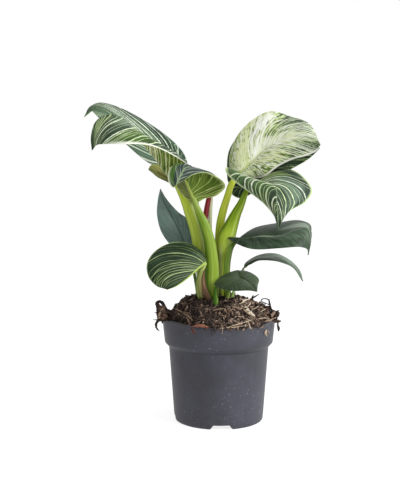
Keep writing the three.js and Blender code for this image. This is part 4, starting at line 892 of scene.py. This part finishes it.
def tube(path, widths, sides=28, spacing=2.0, depth=0.72):
    """An oval tube along a path: points, faces and (t, a) for each point."""
    at = curve(path)
    coarse = at(np.linspace(0, 1, 60))
    length = np.linalg.norm(np.diff(coarse, axis=0), axis=1).sum()
    rows = max(8, int(length / spacing))
    t = np.linspace(0, 1, rows)
    along = heading(at, t)
    wide = unit(np.cross([0, 1, 0], along))
    deep = np.cross(along, wide)
    half = np.interp(t, np.linspace(0, 1, len(widths)), widths) / 2
    angle = 2 * np.pi * np.arange(sides) / sides
    ring = at(t)[:, None] + (half[:, None] * np.cos(angle)[None])[..., None] * wide[:, None] \
        + (half[:, None] * depth * np.sin(angle)[None])[..., None] * deep[:, None]
    coords = np.stack(np.broadcast_arrays(t[:, None], angle[None] / (2 * np.pi)), -1).reshape(-1, 2)
    return ring.reshape(-1, 3), tube_faces(rows, sides), coords


def make_stalk(name):
    low, high, streak, marks = STALK_COLOURS.get(name, PLAIN_STALK)
    verts, faces, coords = tube(*STALKS[name])
    verts[:, 2] = np.maximum(verts[:, 2], SOIL_LINE)
    material = stalk_material(f"stalk_{name}", low, high, streak, 3.0 + len(name), marks)
    obj = make_mesh(f"petiole_{name}", verts, faces, [material], uvs={"stalk": coords})
    return place(obj, "stalk_green", f"stalk_{name}")


def make_shoot(name):
    slot, low, high, streak, marks = SHOOT_LOOKS[name]
    verts, faces, coords = tube(*SHOOTS[name], sides=20, spacing=1.5)
    material = stalk_material(name, low, high, streak, 8.0, marks)
    obj = make_mesh(f"{name}_shoot", verts, faces, [material], uvs={"stalk": coords})
    return place(obj, slot, name)


# ------------------------------------------------------------------ pot

POT_SECTORS = 192
NOTCH_CENTRES = [NOTCH.first + k * 2 * np.pi / NOTCH.count for k in range(NOTCH.count)]
FOOT_RING = range(5, 11)  # the points of the profile that a notch lifts
FOOT_EDGE = {8: 0.12, 9: 0.25, 10: 0.5}  # and how far apart it keeps the last of them


def body_radius(z):
    return POT.foot + (POT.body_top - POT.foot) * z / POT.body_z


def pot_profile():
    """The pot's section, from the middle of its underside round to the middle of its floor. Each edge is rounded
    off by two or three points a few tenths of a millimetre apart."""
    wall, rim, top, hub, recess = POT.wall, POT.rim, POT.height, POT.hub, POT.recess
    foot, ring_in, floor = POT.foot, POT.foot - POT.foot_ring, POT.recess + POT.wall
    neck, neck_z, collar, collar_z = POT.body_top, POT.body_z, POT.collar, POT.collar_z
    under = [(0, 0), (hub - 0.6, 0), (hub, 0.2), (hub + 1.5, recess), (ring_in - 1, recess), (ring_in - 0.2, 0.3),
             (ring_in + 0.3, 0), (foot - 2.2, 0), (foot - 1.2, 0.15), (foot - 0.5, 0.6), (body_radius(1.8), 1.8)]
    body = [(body_radius(z), z) for z in np.linspace(6, neck_z - 1.5, 16)]
    shoulder = [(neck - 0.05, neck_z - 0.5), (neck + 0.35, neck_z + 0.2), (collar - 0.9, collar_z - 1.0),
                (collar - 0.25, collar_z - 0.2), (collar + 0.1, collar_z + 1.0)]
    side = [(collar + (rim - collar) * f, collar_z + (top - collar_z) * f) for f in (0.2, 0.4, 0.6, 0.8, 0.92)]
    lip = [(rim, top - 0.9), (rim - 0.15, top - 0.25), (rim - 0.5, top), (rim - wall - 0.1, top),
           (rim - wall - 0.5, top - 0.5)]
    inside = [(collar - wall, collar_z + 0.5), (neck - wall, neck_z + 0.3), (body_radius(40) - wall, 40),
              (body_radius(floor) - wall, floor), (hub, floor), (0, floor)]
    return under + body + shoulder + side + lip + inside


def notch_lift(angle):
    """How high the notches lift the foot ring in this direction."""
    lift = 0.0
    for centre in NOTCH_CENTRES:
        if math.cos(angle - centre) > 0:
            across = abs(POT.foot * math.sin(angle - centre))
            share = (NOTCH.width / 2 - across) / (NOTCH.width / 2 - NOTCH.top / 2)
            lift = max(lift, min(1.0, max(0.0, share)) * NOTCH.height)
    return lift


def make_pot():
    profile = pot_profile()
    angles = set(np.round(np.linspace(-np.pi, np.pi, POT_SECTORS + 1)[:-1], 5))
    for centre in NOTCH_CENTRES:
        for edge in (NOTCH.width / 2, NOTCH.top / 2):
            for sign in (-1, 1):
                angle = centre + sign * math.asin(edge / POT.foot)
                angles.add(round((angle + np.pi) % (2 * np.pi) - np.pi, 5))
    verts = []
    for k, (r, z) in enumerate(profile):
        for a in sorted(angles):
            height = z
            if k in FOOT_RING:
                lift = notch_lift(a)
                height = max(z, lift + FOOT_EDGE.get(k, 0.0) * (lift > 0))
            if z > POT.collar_z:
                bow = sum(rise * math.exp(-((a - angle) / width) ** 2) for angle, width, rise in BOWS)
                height += bow * (z - POT.collar_z) / (POT.height - POT.collar_z)
            verts.append((*polar(r, a), height))
    faces = grid_faces(len(profile), len(angles), closed=True, flip=True)
    obj = make_mesh("pot_shell", verts, faces, [pot_material()])
    obj.modifiers.new("weld", "WELD").merge_threshold = 0.00001
    rods = Heap()
    for centre in NOTCH_CENTRES:
        ring = np.array([(*polar(DRAIN.radius, turn), 0) for turn in np.linspace(0, 2 * np.pi, 25)[:-1]])
        ring[:, :2] += polar(DRAIN.circle, centre)
        rods.add(np.vstack([ring + (0, 0, 2), ring + (0, 0, 9)]), tube_faces(2, len(ring)), 0.0)
    cutter = make_mesh("drain_cutter", np.vstack(rods.verts), rods.faces, [])
    drain = obj.modifiers.new("drain", "BOOLEAN")
    drain.object, drain.operation, drain.solver = cutter, "DIFFERENCE", "EXACT"
    bpy.context.view_layer.update()
    obj.data = bpy.data.meshes.new_from_object(obj.evaluated_get(bpy.context.evaluated_depsgraph_get()))
    obj.modifiers.clear()
    bpy.data.objects.remove(cutter)
    return place(obj, "pot_plastic", "pot")


# ------------------------------------------------------------------ soil

BED_RINGS, BED_SECTORS, BED_RADIUS = 110, 330, 58.4
# The soil's sides and underside, just inside the pot's wall: radius and height.
BED_SIDE = [(0.05, 6.3), (46.2, 6.3), (51.4, 77.5), (55.8, 84), (57.6, 98)]
LOOSE_EDGE = 57.5  # how far out loose bits lie on the heap
SPILL_EDGE = 61.0  # where fibres that spill over the rim turn down


def heap_surface(x, y):
    """The heap with its clods and hollows, for setting bits on it."""
    radius = math.hypot(x, y)
    z = float(np.interp(radius, *zip(*SEEN_HEAP)))
    calm = min(1.0, max(0.0, (59.0 - radius) / 9))
    z -= (LEAN * 0.3 if x < 0 else LEAN) * x * calm
    for height, cx, cy, reach in MOUNDS:
        z += height * math.exp(-((x - cx) ** 2 + (y - cy) ** 2) / reach)
    clods = noise.fractal(Vector((x * 0.1, y * 0.1, 1.0)), 0.8, 2.1, 3)
    rough = noise.ridged_multi_fractal(Vector((x * 0.16, y * 0.16, 4.0)), 0.9, 2.0, 3, 0.9, 2.0)
    fine = noise.fractal(Vector((x * 0.55, y * 0.55, 5.0)), 0.9, 2.1, 3)
    return z + (2.4 * clods + 1.5 * (rough - 1.2) + 0.9 * fine) * (0.25 + 0.75 * calm)


def soil_bed():
    turns = [2 * np.pi * k / BED_SECTORS for k in range(BED_SECTORS)]
    verts = [(*polar(r, a), z) for r, z in BED_SIDE for a in turns]
    for i in range(BED_RINGS):
        r = BED_RADIUS * (1 - (i / (BED_RINGS - 1)) ** 1.05) + 0.05
        spots = [polar(r, a) for a in turns]
        verts += [(x, y, heap_surface(x, y)) for x, y in spots]
    faces = grid_faces(BED_RINGS + len(BED_SIDE), BED_SECTORS, closed=True)
    tones = [0.06 + 0.2 * wave(x * 0.4, y * 0.4, 3.0) for x, y, _ in verts]
    obj = make_mesh("soil_bed", verts, faces, [soil_material("peat")], uvs={"tone": np.stack([tones, tones], -1)})
    return place(obj, "soil_mix", "soil")


class Heap:
    """Collects many small bits into one mesh."""

    def __init__(self):
        self.verts, self.faces, self.tones, self.count = [], [], [], 0

    def add(self, verts, faces, tone):
        self.verts.append(verts)
        self.faces += [tuple(i + self.count for i in f) for f in faces]
        self.tones.append(np.broadcast_to(tone, (len(verts),)))
        self.count += len(verts)

    def finish(self, name, material, smooth=False):
        tones = np.concatenate(self.tones)
        obj = make_mesh(name, np.vstack(self.verts), self.faces, [material], uvs={"tone": np.stack([tones, tones], -1)},
                        smooth=smooth)
        return place(obj, "soil_mix")


def turned(verts, yaw, pitch, roll):
    def about(i, j, a):
        m = np.eye(3)
        m[i, i] = m[j, j] = math.cos(a)
        m[i, j], m[j, i] = -math.sin(a), math.sin(a)
        return m
    return verts @ (about(0, 1, yaw) @ about(0, 2, pitch) @ about(1, 2, roll)).T


def speckled(tone, verts, amount):
    """A bit's tone with a little chance at each of its points."""
    return tone + amount * (rng.random(len(verts)) - 0.5)


def standing_circles():
    """Where the stalks come out of the soil, and their radius there."""
    for path, widths in (*STALKS.values(), *SHOOTS.values()):
        t = np.linspace(0, 1, 80)
        points = curve(path)(t)
        i = int(np.argmin(np.abs(points[:, 2] - 131)))
        yield points[i, 0], points[i, 1], np.interp(t[i], np.linspace(0, 1, len(widths)), widths) / 2


STANDING = list(standing_circles())


def clear_of_stalks(x, y, margin):
    return all(math.hypot(x - sx, y - sy) > r + margin for sx, sy, r in STANDING)


def random_spot(edge=58.0):
    return polar(edge * math.sqrt(rng.random()), 2 * np.pi * rng.random())


def rim_spot():
    """A place on the rim where soil lies on it: at the far right, the far left, the front right and the back."""
    spots = ((-0.02, 0.1), (-3.1, 0.06), (-1.35, 0.22), (-0.85, 0.08), (1.6, 1.2))
    centre, width = spots[rng.choice(5, p=(0.42, 0.12, 0.24, 0.08, 0.14))]
    a = centre + width * rng.normal()
    r = rng.uniform(55.5, 60.8)
    return *polar(r, a), 105.0 + 2.2 * rng.random() - 0.5 * max(0.0, r - 59)


def tone_at(x, y, bright):
    """How pale a bit is: the heap is paler towards the right front, with dark patches all over."""
    patch = wave(x * 0.09, y * 0.09, 9.0) + 0.6 * wave(x * 0.22, y * 0.22, 2.0)
    rightward = min(1.0, max(0.0, (x + 12 - 0.3 * y) / 44))
    return min(1.15, max(0.0, bright * (0.72 + 0.42 * rightward) + 0.04 + 0.08 * rightward + 0.3 * patch))


def lump(size):
    """A ragged crumb: a low ball of twelve corners, each one moved."""
    t = (1 + 5 ** 0.5) / 2
    base = unit(np.array([(-1, t, 0), (1, t, 0), (-1, -t, 0), (1, -t, 0), (0, -1, t), (0, 1, t), (0, -1, -t),
                          (0, 1, -t), (t, 0, -1), (t, 0, 1), (-t, 0, -1), (-t, 0, 1)], float))
    faces = [(0, 11, 5), (0, 5, 1), (0, 1, 7), (0, 7, 10), (0, 10, 11), (1, 5, 9), (5, 11, 4), (11, 10, 2),
             (10, 7, 6), (7, 1, 8), (3, 9, 4), (3, 4, 2), (3, 2, 6), (3, 6, 8), (3, 8, 9), (4, 9, 5), (2, 4, 11),
             (6, 2, 10), (8, 6, 7), (9, 8, 1)]
    return base * (1 + 0.36 * rng.uniform(-1, 1, (12, 1))) * size * np.array([1.4, 0.85, 0.7]), faces


def crumbs():
    heap = Heap()
    for k in range(CRUMB_COUNT):
        x, y = random_spot()
        size = 0.4 + 2.0 * rng.random() ** 2.6
        z = heap_surface(x, y) + 0.25 * size
        if k % 16 == 0:
            x, y, z = rim_spot()
        if clear_of_stalks(x, y, size * 0.6):
            verts, faces = lump(size)
            heap.add(turned(verts, *rng.uniform(0, 6.28, 3)) + (x, y, z), faces, tone_at(x, y, rng.random() ** 1.7))
    return heap.finish("soil_crumbs", soil_material("crumb"))


def clod(size, seed):
    """A rough ball of peat and roots, longer one way."""
    rows, columns = 16, 24
    verts = []
    for i in range(rows):
        tilt = math.pi * (i + 0.5) / rows
        for j in range(columns):
            d = Vector((*polar(math.sin(tilt), 2 * math.pi * j / columns), math.cos(tilt)))
            swell = 0.4 * noise.fractal(d * 1.4 + Vector((seed, 0, 0)), 0.6, 2.2, 5)
            bulge = 1 + swell + 0.16 * noise.noise(d * 6 + Vector((0, seed, 0)))
            verts.append([c * bulge * half for c, half in zip(d, size)])
    faces = grid_faces(rows, columns, closed=True, flip=True)
    faces += [tuple(range(columns)), tuple((rows - 1) * columns + k for k in reversed(range(columns)))]
    return np.array(verts), faces


def clods():
    heap = Heap()
    for k, (centre, size, tone) in enumerate(CLODS):
        verts, faces = clod(size, k * 3.7)
        heap.add(verts + centre, faces, speckled(tone, verts, 0.3))
    for k in range(CLOD_COUNT):
        x, y = random_spot(54)
        size = rng.uniform(1.0, 2.5)
        if clear_of_stalks(x, y, size):
            verts, faces = clod(size * rng.uniform(0.7, 1.2, 3), k * 1.9 + 50)
            tone = tone_at(x, y, rng.random() ** 1.8 * 0.8)
            verts = turned(verts, *rng.uniform(0, 6.28, 3)) + (x, y, heap_surface(x, y) - 0.1 * size)
            heap.add(verts, faces, speckled(tone, verts, 0.25))
    return heap.finish("soil_clods", soil_material("clod", scale=300.0), smooth=True)


def chip(length, width, thick):
    """A splinter of bark: a flat block, bent and drawn to ragged ends."""
    taper = np.array([0.45, 0.9, 1.0, 0.85, 0.4])
    n = len(taper)
    xs = np.linspace(-0.5, 0.5, n)
    taper = taper * (1 + 0.25 * rng.uniform(-1, 1, n))
    sag = rng.uniform(-0.12, 0.12) * length * (1 - (2 * xs) ** 2)
    verts = [(x * length, y * width * f, z * thick * (0.6 + 0.4 * f) + lift) for x, f, lift in zip(xs, taper, sag)
             for y, z in ((-0.5, -0.3), (0.5, -0.5), (0.55, 0.4), (0.0, 0.6), (-0.5, 0.45))]
    verts = np.array(verts) + rng.uniform(-0.08, 0.08, (len(verts), 3)) * min(width, thick * 2)
    return verts, tube_faces(n, 5)


def chips():
    heap = Heap()
    for k in range(CHIP_COUNT):
        x, y = random_spot(LOOSE_EDGE)
        length = 2.5 + 9.5 * rng.random() ** 1.7
        z = heap_surface(x, y) + 0.8
        slope = rng.normal(0, 0.5)
        if k % 10 == 0:
            x, y, z = rim_spot()
            slope = rng.normal(0, 0.8)
        if clear_of_stalks(x, y, length * 0.35):
            verts, faces = chip(length, 0.7 + 1.9 * rng.random() ** 1.5, 0.5 + 0.9 * rng.random())
            verts = turned(verts, rng.uniform(0, 6.28), slope, rng.normal(0, 0.6))
            heap.add(verts + (x, y, z), faces, min(0.86, tone_at(x, y, rng.random() ** 1.5)))
    for k in range(PALE_CHIP_COUNT):
        x, y = 26 + 4.5 * rng.normal(), -20 + 8 * rng.normal()
        verts, faces = chip(rng.uniform(1.5, 4.5), rng.uniform(0.6, 1.6), 0.8)
        verts = turned(verts, rng.uniform(0, 6.28), *rng.normal(0, 0.6, 2))
        heap.add(verts + (x, y, heap_surface(x, y) + 1.4), faces, rng.uniform(0.6, 1.25))
    for centre, length, width, turn, tone in LAID:
        verts, faces = chip(length, width, 1.3)
        heap.add(turned(verts, *turn) + centre, faces, tone)
    return heap.finish("bark_chips", soil_material("bark", rough=0.85))


def strand(points, radius, sides=4, tip=0.4):
    """A thin root or straw along points."""
    points = np.asarray(points, float)
    along = unit(np.gradient(points, axis=0))
    side = unit(np.cross(along, [0.13, 0.21, 0.97]))
    other = np.cross(along, side)
    n = len(points)
    r = radius * np.interp(np.arange(n), [0, n * 0.25, n * 0.7, n - 1], [tip, 1, 1, tip])
    angle = 2 * np.pi * np.arange(sides) / sides
    ring = points[:, None] + (r[:, None] * np.cos(angle)[None])[..., None] * side[:, None] \
        + (r[:, None] * np.sin(angle)[None])[..., None] * other[:, None]
    return ring.reshape(-1, 3), tube_faces(n, sides)


def fibre_path(x, y, spill):
    """A wandering line over the heap, or over the rim and down the pot's side if it may spill."""
    drop = 0.0
    angle = rng.uniform(0, 2 * np.pi)
    bend = rng.normal(0, 0.09)
    length = 3 + 11 * rng.random() ** 2.2
    steps = max(4, int(length / 1.5))
    lift = rng.uniform(0.2, 2.2) * min(1.0, length / 9)
    points = []
    for i in range(steps + 1):
        r = math.hypot(x, y)
        if r > LOOSE_EDGE:
            if not spill:
                break
            if r > SPILL_EDGE:
                x, y = x * SPILL_EDGE / r, y * SPILL_EDGE / r
                drop += rng.uniform(0.6, 1.4)
            z = 105.9 - drop
        else:
            z = heap_surface(x, y)
        points.append((x, y, z + 0.35 + lift * math.sin(math.pi * (i / steps))))
        x += math.cos(angle) * length / steps
        y += math.sin(angle) * length / steps
        angle += bend + rng.normal(0, 0.16)
    return points, x, y


def fibres():
    heap = Heap()
    for k in range(FIBRE_COUNT):
        x, y = random_spot(LOOSE_EDGE)
        spill = k % 30 == 0
        if spill:
            x, y, _ = rim_spot()
        if not clear_of_stalks(x, y, 1.2):
            continue
        points, x, y = fibre_path(x, y, spill)
        if len(points) > 3:
            thick = rng.random() ** 2
            verts, faces = strand(points, 0.12 + (0.1 if spill else 0.32) * thick)
            heap.add(verts, faces, tone_at(x, y, rng.random() ** 1.3) * (0.6 if spill else 1 - 0.3 * thick))
    return heap.finish("root_fibres", soil_material("fibre", rough=0.8, scale=700.0), smooth=True)


def hung():
    """The pieces of bark, root and straw that stand out from the heap or hang over the rim."""
    for name, pieces in HUNG.items():
        heap = Heap()
        for path, widths, depth, tone in pieces:
            verts, faces, _ = tube(path, widths, sides=10, spacing=0.9, depth=depth)
            shake = np.array([[0.28 * wave(x * 0.9, y * 0.9, z * 0.9 + k) for k in (0, 7, 14)] for x, y, z in verts])
            verts = verts + shake * min(3.0, max(widths))
            heap.add(verts, faces, speckled(tone, verts, 0.2))
        heap.finish(name, soil_material(name, rough=0.82, scale=520.0), smooth=True)


# ------------------------------------------------------------------ studio


def link(name, data, location, rotation):
    obj = bpy.data.objects.new(name, data)
    obj.location, obj.rotation_euler = location, rotation
    bpy.context.scene.collection.objects.link(obj)
    return obj


def make_studio():
    """A white room: a plain floor, soft light that falls off towards the left, and the camera."""
    scene = bpy.context.scene
    scene.view_settings.view_transform = "Standard"
    scene.world = bpy.data.worlds.new("studio")
    scene.world.use_nodes = True
    sky = Nodes(scene.world.node_tree)
    background = sky.tree.nodes["Background"]
    background.inputs["Color"].default_value = (1, 1, 1, 1)
    toward = sky.node("ShaderNodeTexCoord", output="Generated")
    bright = sky.node("ShaderNodeVectorMath", {0: toward, 1: (0.8, 0.1, 0.6)}, "Value", operation="DOT_PRODUCT")
    ahead = sky.node("ShaderNodeSeparateXYZ", {0: toward}, 1)
    sky.feed(background.inputs["Strength"], bright.step(-0.55, 0.75, 0.34).max(ahead.step(0.35, 0.85)))
    s = Shader("studio_floor", Roughness=0.95, Specular_IOR_Level=0.0, Emission_Strength=0.82,
               Emission_Color=(1, 1, 1, 1))
    s.feed(s.bsdf.inputs["Base Color"], s.mix(s.noise(s.place(), 3.0), (0.26, 0.26, 0.26, 1), (0.27, 0.27, 0.27, 1)))
    floor = make_mesh("floor", [(-4000, -3000, 0), (4000, -3000, 0), (4000, 5000, 0), (-4000, 5000, 0)],
                      [(0, 1, 2, 3)], [s.material], smooth=False)
    plant = Vector(mm((0, 0, 180)))
    for name, spot, size, power in (("key", (950, -620, 760), 700, 22.0), ("top", (-200, -200, 1300), 900, 3.0)):
        light = bpy.data.lights.new(name, "AREA")
        light.size, light.energy = size / 1000, power
        spot = Vector(mm(spot))
        link(name, light, spot, (plant - spot).to_track_quat("-Z", "Y").to_euler())
    camera = bpy.data.cameras.new("camera")
    camera.sensor_width, camera.lens, camera.clip_start = 36.0, 51.34, 0.05
    scene.camera = link("camera", camera, (-0.020, -0.7587, 0.216), (math.pi / 2 - 0.047, 0, 0))


# ------------------------------------------------------------------ assembly

make_studio()
for index, blade_name in enumerate(BLADES):
    make_blade(blade_name, 2.0 + index)
for stalk_name in STALKS:
    make_stalk(stalk_name)
for shoot_name in SHOOTS:
    make_shoot(shoot_name)
make_pot()
soil_bed()
clods()
crumbs()
chips()
fibres()
hung()

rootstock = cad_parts["rootstock"]
rootstock.data.materials.clear()
rootstock.data.materials.append(soil_material("rootstock"))
